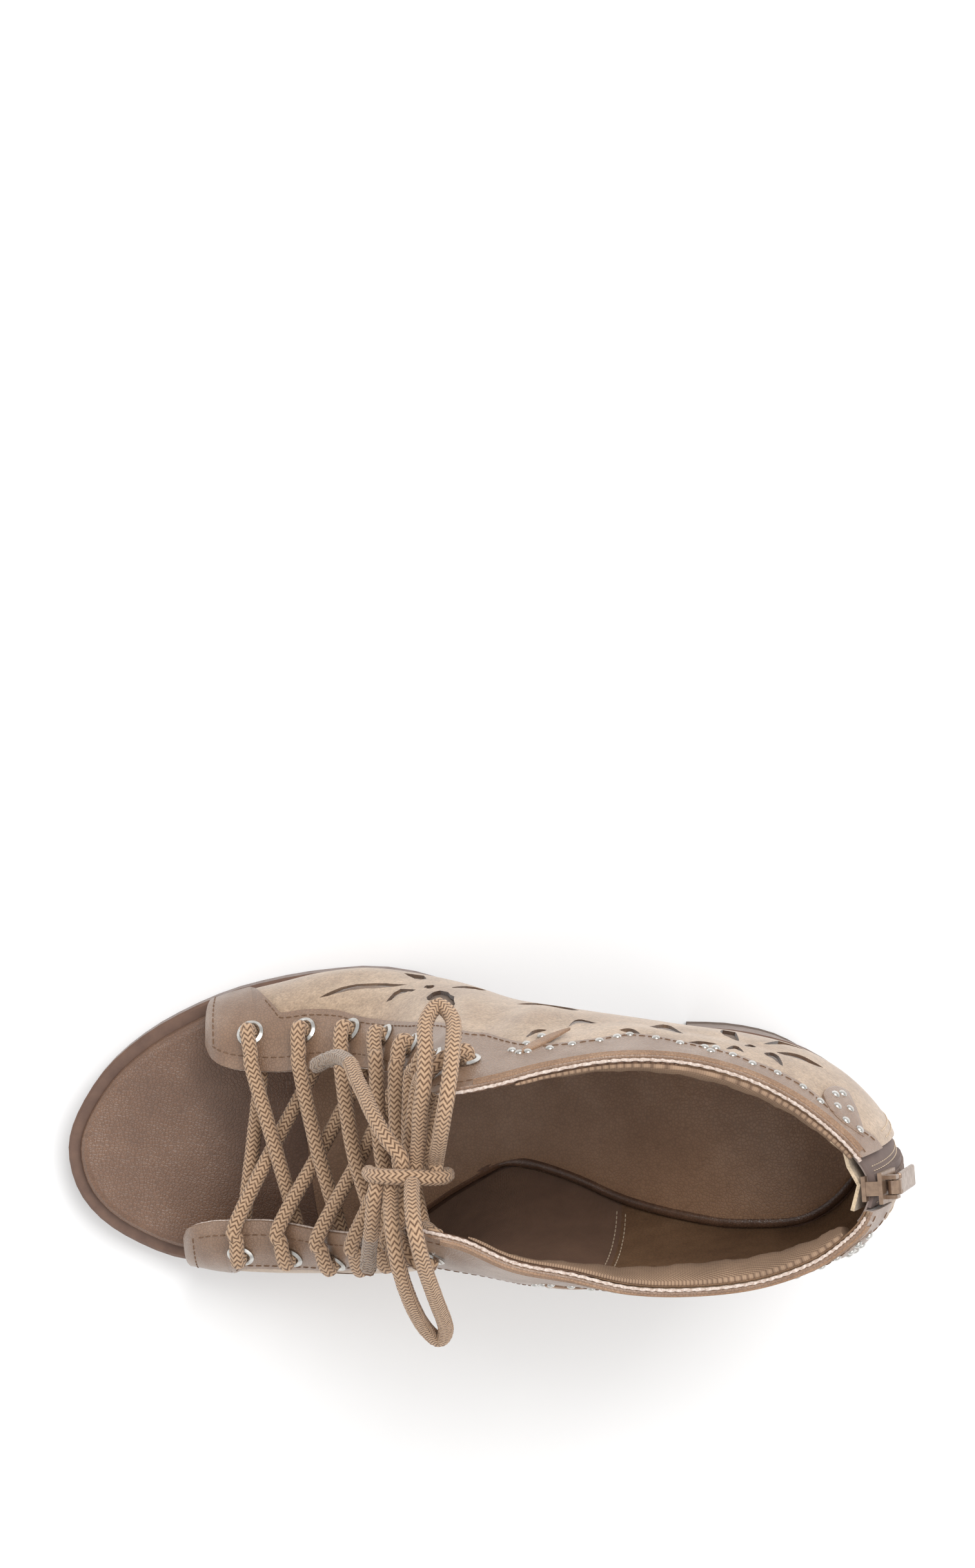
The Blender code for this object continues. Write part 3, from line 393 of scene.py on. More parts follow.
def sums(tree, operation, first, second=0.0):
    made = tree.nodes.new("ShaderNodeMath")
    made.operation = operation
    for value, socket in ((first, made.inputs[0]), (second, made.inputs[1])):
        if hasattr(value, "is_output"):
            tree.links.new(value, socket)
        else:
            socket.default_value = value
    return made.outputs[0]


def bumpFrom(tree, shader, height, strength, distance):
    made = tree.nodes.new("ShaderNodeBump")
    made.inputs["Strength"].default_value = strength
    made.inputs["Distance"].default_value = distance
    tree.links.new(height, made.inputs["Height"])
    tree.links.new(made.outputs["Normal"], shader.inputs["Normal"])


def colour(red, green, blue):
    # screen colour 0 to 255 turned to the light values that the shader reads
    def light(value):
        value /= 255
        return value / 12.92 if value <= 0.04045 else ((value + 0.055) / 1.055) ** 2.4
    return (light(red), light(green), light(blue))


def places(tree):
    return tree.nodes.new("ShaderNodeTexCoord").outputs["Object"]


def strip(tree):
    # along the piece and across it, in metres, as the mesh builders lay it down
    return tree.nodes.new("ShaderNodeTexCoord").outputs["UV"]


def suedeFinish(name, base, dark, light):
    material, tree, shader = startFinish(name)
    where = places(tree)
    clouds = noise(tree, where, 55, 4, 0.6)
    nap = noise(tree, where, 1300, 3, 0.7)
    rubbed = noise(tree, where, 260, 5, 0.65)
    brushed = ramp(tree, clouds, (0.34, dark), (0.5, base), (0.66, light))
    speckle = ramp(tree, nap, (0.3, (0.66, 0.65, 0.64)), (0.7, (1.16, 1.16, 1.16)))
    patches = ramp(tree, rubbed, (0.32, (0.84, 0.83, 0.82)), (0.62, (1.05, 1.05, 1.05)))
    shade = mixed(tree, 1.0, speckle, patches, "MULTIPLY")
    tree.links.new(mixed(tree, 1.0, brushed, shade, "MULTIPLY"), shader.inputs["Base Color"])
    shader.inputs["Roughness"].default_value = 0.92
    shader.inputs["Sheen Weight"].default_value = 0.35
    shader.inputs["Sheen Roughness"].default_value = 0.5
    bumpFrom(tree, shader, nap, 0.6, 0.0003)
    return material


def leatherFinish(name, base, dark, light, roughness, coat=0.0, grain=1100, lift=0.00018):
    material, tree, shader = startFinish(name)
    where = places(tree)
    patches = noise(tree, where, 70, 4, 0.6)
    pores = node(tree, "ShaderNodeTexVoronoi", feature="DISTANCE_TO_EDGE")
    pores.inputs["Scale"].default_value = grain
    tree.links.new(where, pores.inputs["Vector"])
    cells = ramp(tree, pores.outputs["Distance"], (0.0, (0, 0, 0)), (0.18, (1, 1, 1)))
    tone = ramp(tree, patches, (0.32, dark), (0.5, base), (0.68, light))
    worn = mixed(tree, 0.25, tone, cells, "MULTIPLY")
    tree.links.new(worn, shader.inputs["Base Color"])
    gloss = ramp(tree, patches, (0.3, (roughness + 0.1,) * 3), (0.7, (roughness - 0.08,) * 3))
    tree.links.new(gloss, shader.inputs["Roughness"])
    shader.inputs["Coat Weight"].default_value = coat
    shader.inputs["Coat Roughness"].default_value = 0.3
    bumpFrom(tree, shader, cells, 0.35, lift)
    return material


def weaveFinish(name, base, dark, across, along, slant=1.0, roughness=0.85):
    # slanting ribs over the strip coordinates, as on a twill
    material, tree, shader = startFinish(name)
    where = strip(tree)
    parts = node(tree, "ShaderNodeSeparateXYZ")
    tree.links.new(where, parts.inputs[0])
    lean = sums(tree, "ADD", sums(tree, "MULTIPLY", parts.outputs[0], along * slant),
                sums(tree, "MULTIPLY", parts.outputs[1], across))
    rib = sums(tree, "ABSOLUTE", sums(tree, "SINE", lean))
    thread = sums(tree, "ABSOLUTE", sums(tree, "SINE", sums(tree, "MULTIPLY", parts.outputs[0], along * 2)))
    height = sums(tree, "MULTIPLY", rib, sums(tree, "ADD", 0.6, sums(tree, "MULTIPLY", thread, 0.4)))
    dirt = noise(tree, places(tree), 80, 4, 0.6)
    cloth = ramp(tree, height, (0.05, dark), (0.8, base))
    shade = ramp(tree, dirt, (0.3, (0.82, 0.82, 0.82)), (0.7, (1.1, 1.1, 1.1)))
    tree.links.new(mixed(tree, 1.0, cloth, shade, "MULTIPLY"), shader.inputs["Base Color"])
    shader.inputs["Roughness"].default_value = roughness
    bumpFrom(tree, shader, height, 0.6, 0.0002)
    return material


def plainFinish(name, base, dark, roughness, metallic=0.0, scale=400, coat=0.0, lift=0.00005):
    material, tree, shader = startFinish(name)
    where = places(tree)
    spots = noise(tree, where, scale, 4, 0.65)
    tree.links.new(ramp(tree, spots, (0.3, dark), (0.65, base)), shader.inputs["Base Color"])
    rough = ramp(tree, spots, (0.3, (roughness + 0.12,) * 3), (0.7, (roughness,) * 3))
    tree.links.new(rough, shader.inputs["Roughness"])
    shader.inputs["Metallic"].default_value = metallic
    shader.inputs["Coat Weight"].default_value = coat
    bumpFrom(tree, shader, spots, 0.3, lift)
    return material


def braidFinish(name, base, dark, light, columns=6, fuzz=0.0):
    # herringbone of a round braid: strip coordinates hold turns round the cord and stitches along. The
    # colour is painted shade in the grooves between strands and painted highlight on the ridges
    material, tree, shader = startFinish(name)
    parts = node(tree, "ShaderNodeSeparateXYZ")
    tree.links.new(strip(tree), parts.inputs[0])
    zigzag = sums(tree, "PINGPONG", sums(tree, "MULTIPLY", parts.outputs[0], columns), 0.5)
    lean = sums(tree, "ADD", parts.outputs[1], sums(tree, "MULTIPLY", zigzag, 1.6))
    ridge = sums(tree, "ABSOLUTE", sums(tree, "SINE", sums(tree, "MULTIPLY", lean, math.pi)))
    fibre = noise(tree, places(tree), 2600, 3, 0.7)
    flecks = ramp(tree, noise(tree, places(tree), 900, 2, 0.6), (0.56, (0, 0, 0)), (0.68, (1, 1, 1)))
    height = sums(tree, "ADD", ridge, sums(tree, "MULTIPLY", fibre, 0.35 + fuzz))
    # painted shade in the grooves and painted highlight on the ridges, keyed to the ridge height
    ridgeShadeAndHighlight = ramp(tree, ridge, (0.12, dark), (0.45, base), (0.92, light))
    speckle = ramp(tree, fibre, (0.3, (0.8, 0.8, 0.8)), (0.7, (1.12, 1.12, 1.12)))
    spun = mixed(tree, 1.0, ridgeShadeAndHighlight, speckle, "MULTIPLY")
    pale = mixed(tree, sums(tree, "MULTIPLY", flecks, 0.45), spun, light)
    tree.links.new(pale, shader.inputs["Base Color"])
    shader.inputs["Roughness"].default_value = 0.85
    shader.inputs["Sheen Weight"].default_value = 0.15 + fuzz
    bumpFrom(tree, shader, height, 0.7, 0.0003)
    return material


finishes = {
    "suede": suedeFinish("taupeSuede", colour(172, 147, 122), colour(160, 134, 110), colour(184, 159, 134)),
    # dark finish for the slit walls, the patches under the slits and the cord along the trim seams: painted
    # shade in the narrow cuts and a painted shadow line at the seams
    "suedeEdge": suedeFinish("cutSuedeEdgePaintedShade", colour(104, 80, 62), colour(74, 54, 42), colour(128, 104, 84)),
    "smooth": leatherFinish(
        "taupeLeather", colour(134, 106, 85), colour(126, 98, 78), colour(144, 117, 97), 0.36, 0.3,
    ),
    "binding": leatherFinish(
        "tanBinding", colour(146, 113, 86), colour(132, 100, 75), colour(160, 127, 100), 0.45,
    ),
    "rawEdge": plainFinish(
        "rawLeatherEdge", colour(216, 202, 192), colour(158, 134, 118), 0.85, scale=1500,
    ),
    "twill": weaveFinish("brownTwill", colour(132, 102, 82), colour(88, 64, 50), 5200, 5200),
    "inlay": weaveFinish("inlayCloth", colour(150, 134, 120), colour(110, 94, 82), 6000, 6000),
    "counter": leatherFinish(
        "tanCounterLining", colour(124, 94, 68), colour(112, 83, 59), colour(138, 107, 80), 0.6,
    ),
    "knit": weaveFinish("knitCollar", colour(160, 132, 108), colour(112, 88, 70), 4200, 2600, 0.5),
    "footbed": leatherFinish(
        "footbedLeather", colour(112, 82, 63), colour(106, 77, 59), colour(120, 90, 71), 0.38, 0.2,
    ),
    "sock": leatherFinish(
        "heelSock", colour(154, 119, 92), colour(146, 112, 86), colour(162, 127, 100), 0.42, 0.1,
    ),
    "sole": plainFinish("soleEdge", colour(104, 76, 60), colour(88, 62, 49), 0.42, scale=220, coat=0.15),
    "heel": leatherFinish(
        "heelWrap", colour(116, 90, 74), colour(106, 82, 66), colour(128, 102, 84), 0.42, 0.15,
    ),
    "rubber": plainFinish("liftRubber", colour(98, 80, 68), colour(80, 64, 54), 0.75, scale=900),
    "silver": plainFinish("silverMetal", colour(206, 204, 200), colour(170, 166, 160), 0.18, 1.0, 300),
    "tape": weaveFinish("zipTape", colour(150, 134, 126), colour(112, 96, 90), 7000, 7000, 0.0),
    "coil": plainFinish("zipCoil", colour(120, 102, 92), colour(88, 72, 64), 0.5, scale=800),
    # the rolled edge is the footbed leather wrapped round, made darker than the footbed as painted shade on
    # its side
    "roll": leatherFinish(
        "rolledEdgePaintedShade", colour(96, 70, 54), colour(80, 57, 43), colour(112, 84, 66), 0.28, 0.4,
    ),
    "slider": plainFinish("coatedMetal", colour(146, 122, 102), colour(120, 98, 82), 0.32, 0.6, 500, 0.3),
    "guard": suedeFinish("guardSuede", colour(204, 182, 152), colour(178, 154, 124), colour(220, 200, 174)),
    # thread darker than its own tan: partly the thread's colour, partly painted shade of the stitch holes
    "thread": plainFinish("thread", colour(122, 92, 68), colour(88, 64, 46), 0.7, scale=2200),
    "paleThread": plainFinish("paleThread", colour(214, 196, 172), colour(176, 154, 130), 0.7, scale=2200),
    "tipWrap": plainFinish("laceTipWrap", colour(120, 90, 66), colour(90, 64, 46), 0.7, scale=1800),
    "lace": braidFinish("laceBraid", colour(142, 111, 84), colour(88, 63, 44), colour(190, 158, 128)),
    "laceTip": braidFinish(
        "laceFuzz", colour(134, 112, 94), colour(98, 78, 62), colour(160, 138, 118), fuzz=0.15,
    ),
}
print("boot: finishes ready")


# Mesh builders
def addPiece(name, mesh, material, body=boot, smoothAngle=50):
    item = bpy.data.objects.new(name, mesh)
    if material is not None:
        mesh.materials.append(material)
    bpy.context.scene.collection.objects.link(item)
    mesh.shade_smooth()
    if smoothAngle:
        mesh.set_sharp_from_angle(angle=math.radians(smoothAngle))
    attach(item, body)
    return item


def gridMesh(name, rings, closed=True, capEnds=True, strips=None):
    # a skin over rings of points, each ring closed on itself when closed is true
    count = len(rings[0])
    corners = [tuple(p) for ring in rings for p in ring]
    faces, spots = [], []
    for i in range(len(rings) - 1):
        for j in range(count if closed else count - 1):
            k = (j + 1) % count
            faces.append((i * count + j, i * count + k, (i + 1) * count + k, (i + 1) * count + j))
            if strips is not None:
                after = j + 1
                spots.append([strips[i][j], strips[i][after], strips[i + 1][after], strips[i + 1][j]])
    if capEnds and closed:
        last = (len(rings) - 1) * count
        faces.append(tuple(range(count - 1, -1, -1)))
        faces.append(tuple(last + j for j in range(count)))
        if strips is not None:
            spots.append([strips[0][0]] * count)
            spots.append([strips[-1][0]] * count)
    mesh = bpy.data.meshes.new(name)
    mesh.from_pydata(corners, [], faces)
    if strips is not None:
        layer = mesh.uv_layers.new(name="strip")
        flat = np.array([value for face in spots for spot in face for value in spot], dtype=np.float32)
        layer.data.foreach_set("uv", flat)
    mesh.update()
    return mesh


def layerOnWall(name, us, rowsAt, inner, outer, material, thicknessAt=None, creaseAt=None, tuck=0.6):
    # a closed leather or cloth layer lying on the wall between two offsets, with soft rims
    rings, strips = [], []
    run = 0.0
    before = None
    for index, u in enumerate(us):
        vs = np.asarray(rowsAt(u), float)
        base, out = wallColumn(u, vs), wallNormals(u, vs)
        low = np.full(len(vs), inner)
        high = np.full(len(vs), outer)
        if thicknessAt is not None:
            low, high = thicknessAt(u, vs)
        if creaseAt is not None:
            push = creaseAt(u, vs)
            low, high = low + push, high + push
        ends = (0, len(us) - 1)
        if index in ends:
            middle, half = (low + high) / 2, (high - low) / 2
            low, high = middle - half * tuck, middle + half * tuck
        middle, half = (low + high) / 2, (high - low) / 2
        upWay = base[-1] - base[-2]
        upWay /= np.linalg.norm(upWay)
        downWay = base[0] - base[1]
        downWay /= np.linalg.norm(downWay)
        face = list(base + out * high[:, None])
        back = list(base + out * low[:, None])
        top = [base[-1] + out[-1] * (middle[-1] + half[-1] * s) + upWay * half[-1] * r
               for s, r in ((0.7, 0.25), (0.0, 0.38), (-0.7, 0.25))]
        foot = [base[0] + out[0] * (middle[0] + half[0] * s) + downWay * half[0] * r
                for s, r in ((-0.7, 0.25), (0.0, 0.38), (0.7, 0.25))]
        ring = face + top + back[::-1] + foot
        place = wallColumn(u, [0.6])[0]
        if before is not None:
            run += float(np.linalg.norm(place - before))
        before = place
        up = np.concatenate([[0], np.cumsum(np.linalg.norm(np.diff(base, axis=0), axis=1))])
        up += float(np.interp(vs[0], np.linspace(0, 1, 41), columnLength(u)))
        heights = list(up) + [up[-1]] * 3 + list(up[::-1]) + [up[0]] * 3
        rings.append(ring)
        strips.append([(run, h) for h in heights] + [(run, heights[0])])
    mesh = gridMesh(name, rings, strips=strips)
    return addPiece(name, mesh, material)


def tubeRings(line, radius, sides, turns=0.0):
    # rings round a line, turned as little as possible, and the frames that they stand in
    line = [np.asarray(p, float) for p in line]
    ways = [line[min(i + 1, len(line) - 1)] - line[max(i - 1, 0)] for i in range(len(line))]
    ways = [w / np.linalg.norm(w) for w in ways]
    side = np.cross(ways[0], [0, 0, 1.0])
    if np.linalg.norm(side) < 1e-3:
        side = np.cross(ways[0], [0, 1.0, 0])
    side /= np.linalg.norm(side)
    rings = []
    for i, (point, way) in enumerate(zip(line, ways)):
        side = side - way * np.dot(side, way)
        side /= np.linalg.norm(side)
        other = np.cross(way, side)
        size = radius(i) if callable(radius) else radius
        ring = []
        for k in range(sides):
            angle = 2 * math.pi * k / sides + turns
            reach = size(k) if callable(size) else size
            ring.append(point + (side * math.cos(angle) + other * math.sin(angle)) * reach)
        rings.append(ring)
    return rings


def evenLine(points, spacing):
    points = [np.asarray(p, float) for p in points]
    fine = np.array([softCurve(points, (len(points) - 1) * i / 400) for i in range(401)])
    gone = np.concatenate([[0], np.cumsum(np.linalg.norm(np.diff(fine, axis=0), axis=1))])
    count = max(4, int(round(gone[-1] / spacing)))
    marks = np.linspace(0, gone[-1], count + 1)
    return [np.array([np.interp(m, gone, fine[:, k]) for k in range(3)]) for m in marks], gone[-1]


# Laces
laceSet = {
    "width": 0.0042, "sides": 16, "spacing": 0.0005, "braidColumns": 6, "stitch": 0.0014,
    "ridge": 0.00013, "fuzz": 0.00022, "boundRings": 3, "slant": 1.6, "clear": 0.0003, "inHole": 0.6,
    "overRise": (0.0006, 0.0010, 0.0004, 0.0002),  # above the leather, from the hole to the edge
    "onWay": (0.0, 0.28, 0.62, 1.0),  # places between the hole and the edge
    "crossApart": 0.5, "barSag": 0.5, "towardsKnot": 0.55, "knotReach": (0.3, 0.5),
}


def laceTube(name, points, material, frayed=0.0, seed=1):
    # a round braided cord: the herringbone stands up a little out of the round
    line, length = evenLine(points, laceSet["spacing"])
    sides, radius = laceSet["sides"], laceSet["width"] / 2
    chance = np.random.default_rng(seed)
    shaggy = chance.uniform(-1, 1, (len(line), sides)) * laceSet["fuzz"]
    pitch = laceSet["spacing"] / laceSet["stitch"]

    def reach(i):
        sizes = []
        for k in range(sides):
            zigzag = abs(((k / sides * laceSet["braidColumns"]) % 1.0) - 0.5)
            ridge = abs(math.sin(math.pi * (i * pitch + (0.5 - zigzag) * laceSet["slant"])))
            worn = min(1.0, max(0.0, (i / len(line) - (1 - frayed)) / max(frayed, 0.001))) if frayed else 0
            sizes.append(radius - laceSet["ridge"] * (1 - ridge) + shaggy[i][k] * (0.25 + worn))
        return lambda k: sizes[k]

    rings = tubeRings(line, reach, sides)
    strips = [[(k / sides, i * pitch) for k in range(sides + 1)] for i in range(len(line))]
    mesh = gridMesh(name, rings, strips=strips)
    piece = addPiece(name, mesh, material, smoothAngle=0)
    if frayed:
        mesh.materials.append(finishes["laceTip"])
        mesh.materials.append(finishes["tipWrap"])
        worn, bound = int(len(line) * (1 - frayed)), len(line) - laceSet["boundRings"]
        for face in mesh.polygons:
            ring = face.index // sides
            face.material_index = 0 if ring < worn or ring >= len(line) - 1 else 2 if ring >= bound else 1
    return piece, line, length


# section of the eyelet on each side, its distance from the edge, and where the lace crosses the edge
eyeletRows = [
    # outer section, inner section, inset, outer crossing, inner crossing
    (2.40, 34.70, 0.0095, 2.45, 34.65),
    (3.80, 33.35, 0.0095, 3.80, 33.30),
    (5.10, 31.80, 0.0100, 5.10, 31.80),
    (6.10, 30.90, 0.0110, 6.20, 30.80),
    (7.20, 29.95, 0.0125, 7.00, 30.05),
    (8.40, 28.85, 0.0150, 7.65, 29.45),
    (9.40, 27.90, 0.0165, 8.10, 28.95),
]
eyeletSet = {"flange": 0.0076, "bore": 0.0044, "metal": 0.0003, "crown": 0.0008, "seat": 0.0002}


def laceWay(side, number, offsets):
    row = eyeletRows[number - 1]
    at, edgeAt = (row[0], row[3]) if side == "outer" else (row[1], row[4])
    v = belowEdge(at, row[2])
    points = []
    for share, offset in zip(laceSet["onWay"], offsets):
        points.append(onWall(at + (edgeAt - at) * share, v + (1 - v) * share, offset))
    return points


def overLeather(side, number):
    # up through the hole, over the ring and the leather to the edge
    radius = laceSet["width"] / 2
    lift = walls["smooth"] + radius
    row = eyeletRows[number - 1]
    at = row[0] if side == "outer" else row[1]
    v = belowEdge(at, row[2])
    below, inside = -radius - 2 * laceSet["clear"], walls["smooth"] * laceSet["inHole"]
    through = [onWall(at, v, below), onWall(at, v, inside)]
    over = laceWay(side, number, [lift + rise for rise in laceSet["overRise"]])
    return through + over


def underLeather(side, number):
    # from the edge to the next hole, against the lining
    drop = -laceSet["width"] / 2 - laceSet["clear"]
    return laceWay(side, number, (drop - laceSet["clear"], drop, drop, drop))[::-1]


def crossingPoints(number):
    over = [overLeather(side, number) for side in ("outer", "inner")]
    under = [underLeather(side, number + 1) for side in ("inner", "outer")]
    middle = (over[0][-1] + over[1][-1] + under[0][0] + under[1][0]) / 4
    up = under[0][0] + under[1][0] - over[0][-1] - over[1][-1]
    out = np.cross(up, over[0][-1] - over[1][-1])
    step = out / np.linalg.norm(out) * laceSet["width"] * laceSet["crossApart"]
    return [*over[0], middle + step, *under[0]], [*over[1], middle - step, *under[1]]


# The bow's routes are the same points as its solids, in millimetres
bow = {
    "tallLoop": [
        (-13.9, 3.8, 128.0), (-12.9, 9.0, 132.0), (-12.1, 16.7, 138.0), (-10.7, 24.3, 141.0),
        (-9.9, 32.4, 138.0), (-9.5, 38.6, 131.0), (-6.2, 42.1, 125.0), (-2.6, 38.8, 131.0),
        (-3.0, 32.0, 142.0), (-4.7, 22.7, 148.0), (-6.6, 14.0, 145.0), (-7.9, 7.8, 138.0),
        (-8.8, 3.6, 130.0),
    ],
    "lowLoop": [
        (-21.2, -6.9, 129.0), (-20.9, -14.2, 136.2), (-19.9, -23.2, 135.2), (-17.8, -33.9, 124.6),
        (-15.1, -43.6, 108.0), (-11.6, -49.0, 99.0), (-9.3, -44.5, 108.0), (-11.2, -32.5, 130.0),
        (-13.4, -21.3, 144.4), (-14.9, -12.1, 149.0), (-15.4, -5.6, 142.0),
    ],
    "longEnd": [
        (-18.1, 4.4, 129.0), (-21.4, 8.9, 127.0), (-24.6, 14.2, 121.0), (-27.0, 18.6, 112.0),
        (-29.2, 22.1, 103.0), (-30.7, 24.7, 95.0), (-33.8, 25.7, 87.0), (-37.4, 24.2, 79.0),
        (-41.1, 21.8, 72.0),
    ],
    "shortEnd": [(-25.5, -6.9, 127.0), (-26.5, -14.0, 123.0), (-27.8, -21.2, 115.0), (-28.8, -28.4, 105.0)],
    "knotWrap": [
        (-26.5, -0.5, 122.0), (-25.3, -0.5, 127.5), (-21.6, -0.5, 131.0), (-16.4, -0.7, 132.5),
        (-11.3, -1.4, 131.0), (-7.6, -1.9, 127.5), (-6.4, -2.1, 122.0),
    ],
    "knotMiddle": (-17.1, -1.6, 122.0),
}
# what the knot hides of each loop and end: points before and after its visible route
hiddenInKnot = {
    "tallLoop": ([(-14.3, 0.2, 128.0)], [(-9.3, 0.4, 128.5)]),
    "lowLoop": ([(-20.8, -2.6, 128.0)], [(-15.2, -2.0, 134.5)]),
    "longEnd": ([(-17.8, 0.6, 129.0)], []),
    "shortEnd": ([(-24.2, -1.6, 127.6)], []),
    "knotWrap": ([], []),
}


def bowRoute(name):
    before, after = hiddenInKnot[name]
    return metres([*before, *bow[name], *after])


def metres(points):
    return [np.array(p, float) * millimetre for p in points]


def makeLaces():
    cotton, width = finishes["lace"], laceSet["width"]
    for number in range(1, len(eyeletRows)):
        high, low = crossingPoints(number)
        for label, route in (("High", high), ("Low", low)):
            piece, _, _ = laceTube(f"laceCross{number}{label}", route, cotton, seed=number)
            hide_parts(f"lace_cross_{number}")
    left, right = underLeather("outer", 1), underLeather("inner", 1)
    middle = (left[0] + right[0]) / 2 - np.array([0, 0, width * laceSet["barSag"]])
    barRoute = [*left[::-1], middle, *right]
    piece, _, _ = laceTube("laceFirstBar", barRoute, cotton, seed=20)
    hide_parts("lace_bar")
    knot = metres([bow["knotMiddle"]])[0]
    for side, sign in (("outer", 1), ("inner", -1)):
        over = overLeather(side, len(eyeletRows))
        aside, below = laceSet["knotReach"]
        end = knot + np.array([0, sign * width * aside, -width * below])
        route = [*over, over[-1] + (end - over[-1]) * laceSet["towardsKnot"], end]
        piece, _, _ = laceTube("laceTop" + side.title(), route, cotton, seed=21)
        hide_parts("lace_gather")
    for name, solid, route, far, fray in (
        ("bowTallLoop", "lace_loop_tall", "tallLoop", "object", 0),
        ("bowLowLoop", "lace_loop_low", "lowLoop", "object", 0),
        ("bowLongEnd", "lace_end_long", "longEnd", "bare", 0.35),
        ("bowShortEnd", "lace_end_short", "shortEnd", "bare", 0.5),
        ("bowKnotWrap", "lace_knot", "knotWrap", "object", 0),
    ):
        piece, line, length = laceTube(name, bowRoute(route), cotton, fray, seed=len(name))
        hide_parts(solid)


makeLaces()
print("boot: laces run")


# Eyelets
def makeEyelets():
    bore, flange = eyeletSet["bore"] / 2, eyeletSet["flange"] / 2
    barrel = bore + eyeletSet["metal"]
    seat, crown = eyeletSet["seat"], eyeletSet["crown"]
    profile = [
        (bore, -walls["smooth"]), (bore, seat + crown * 0.3), (bore + 0.0003, seat + crown * 0.75),
        (bore + 0.0008, seat + crown), (flange - 0.0005, seat + crown * 0.8), (flange, seat + crown * 0.35),
        (flange - 0.0001, seat), (barrel + 0.0002, seat), (barrel, -walls["smooth"]),
    ]
    segments = 40
    for number, (outerAt, innerAt, inset, _, _) in enumerate(eyeletRows, 1):
        for side, u in (("outer", outerAt), ("inner", innerAt)):
            v = belowEdge(u, inset)
            way = Vector(wallNormals(u, [v])[0])
            place = Matrix.Translation(Vector(onWall(u, v, walls["smooth"])))
            place = place @ way.to_track_quat("Z", "Y").to_matrix().to_4x4()
            rings = []
            for k in range(segments):
                angle = 2 * math.pi * k / segments
                ring = [place @ Vector((r * math.cos(angle), r * math.sin(angle), z)) for r, z in profile]
                rings.append([tuple(p) for p in ring])
            rings.append(rings[0])
            mesh = gridMesh("eyelet", rings, capEnds=False)
            piece = addPiece(f"eyelet{side.title()}{number}", mesh, finishes["silver"])
            weld(piece)
            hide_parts(f"eyelet_{side}_{number}")


def weld(item, distance=0.000002):
    builder = bmesh.new()
    builder.from_mesh(item.data)
    bmesh.ops.remove_doubles(builder, verts=builder.verts, dist=distance)
    bmesh.ops.recalc_face_normals(builder, faces=builder.faces)
    builder.to_mesh(item.data)
    builder.free()


makeEyelets()
print("boot: eyelets set")


# Leather and linings of the upper
trim = {
    "depth": 0.0160, "deep": 0.0240, "corners": (9.0, 28.0), "outerStrap": 2.55, "innerStrap": 35.2,
    "underStuds": 0.0010,
    "seamPixels": [
        (575, 1586), (638, 1590), (706, 1598), (753, 1608), (780, 1616), (806, 1622), (841, 1626),
        (888, 1622), (930, 1616), (976, 1608), (1017, 1612), (1054, 1620), (1092, 1628), (1134, 1638),
        (1165, 1650), (1204, 1666), (1243, 1687), (1270, 1709), (1304, 1740),
    ],
}
footShares = [row[0] for row in upperRows]


def mirrored(place):
    # the same place on the other side of the boot
    u, v = place
    share = np.interp(u, range(19), footShares[:19])
    return float(np.interp(share, footShares[:17:-1], range(lastSection, 17, -1))), v


def lowered(place):
    u, v = place
    return u, v - trim["underStuds"] / columnLength(u)[-1]


outerSeam = sorted(lowered(findOnWall(p)) for p in trim["seamPixels"])
innerSeam = sorted(mirrored(place) for place in outerSeam)


def seamFrom(seam, u, plain):
    # the photograph's seam, easing into the plain line beyond its ends
    us, vs = [place[0] for place in seam], [place[1] for place in seam]
    if u < us[0] - 0.8 or u > us[-1] + 0.8:
        return plain
    near = min(1.0, max(0.0, 1 - max(us[0] - u, u - us[-1]) / 0.8))
    return plain + (float(np.interp(u, us, vs)) - plain) * near


def trimLine(u):
    depth = trim["depth"]
    for corner in trim["corners"]:
        depth += (trim["deep"] - trim["depth"]) * max(0.0, 1 - abs(u - corner) / 2.5)
    v = seamFrom(outerSeam if u < backSection else innerSeam, u, belowEdge(u, depth))
    outer = min(1.0, max(0.0, (u - trim["outerStrap"]) / 0.5))
    inner = min(1.0, max(0.0, (trim["innerStrap"] - u) / 0.5))
    return 0.02 + (v - 0.02) * min(outer, inner) ** 0.4


def rowsBetween(low, high, count):
    def at(bound, u):
        return bound(u) if callable(bound) else bound

    return lambda u: np.linspace(at(low, u), at(high, u), count)


creases = [
    # section, height, half length in sections, half width in v, depth in millimetres
    (9.4, 0.56, 0.7, 0.16, -1.1),
    (10.3, 0.46, 0.6, 0.18, 1.0),
    (11.2, 0.58, 0.7, 0.16, -1.0),
    (12.2, 0.62, 0.7, 0.13, 0.7),
    (8.2, 0.45, 0.8, 0.14, 0.7),
    (13.6, 0.50, 1.6, 0.09, -0.5),
    (26.4, 0.50, 1.8, 0.10, -0.8),
    (24.4, 0.58, 1.6, 0.10, 0.6),
    (29.6, 0.42, 1.2, 0.10, -0.6),
    (5.0, 0.40, 1.2, 0.12, -0.4),
    (32.6, 0.38, 1.4, 0.12, -0.4),
]


def creasePush(u, vs):
    push = np.zeros(len(vs))
    for at, height, long, wide, depth in creases:
        away = ((u - at) / long) ** 2 + ((vs - height) / wide) ** 2
        push += depth * millimetre * np.exp(-1.6 * away)
    return push


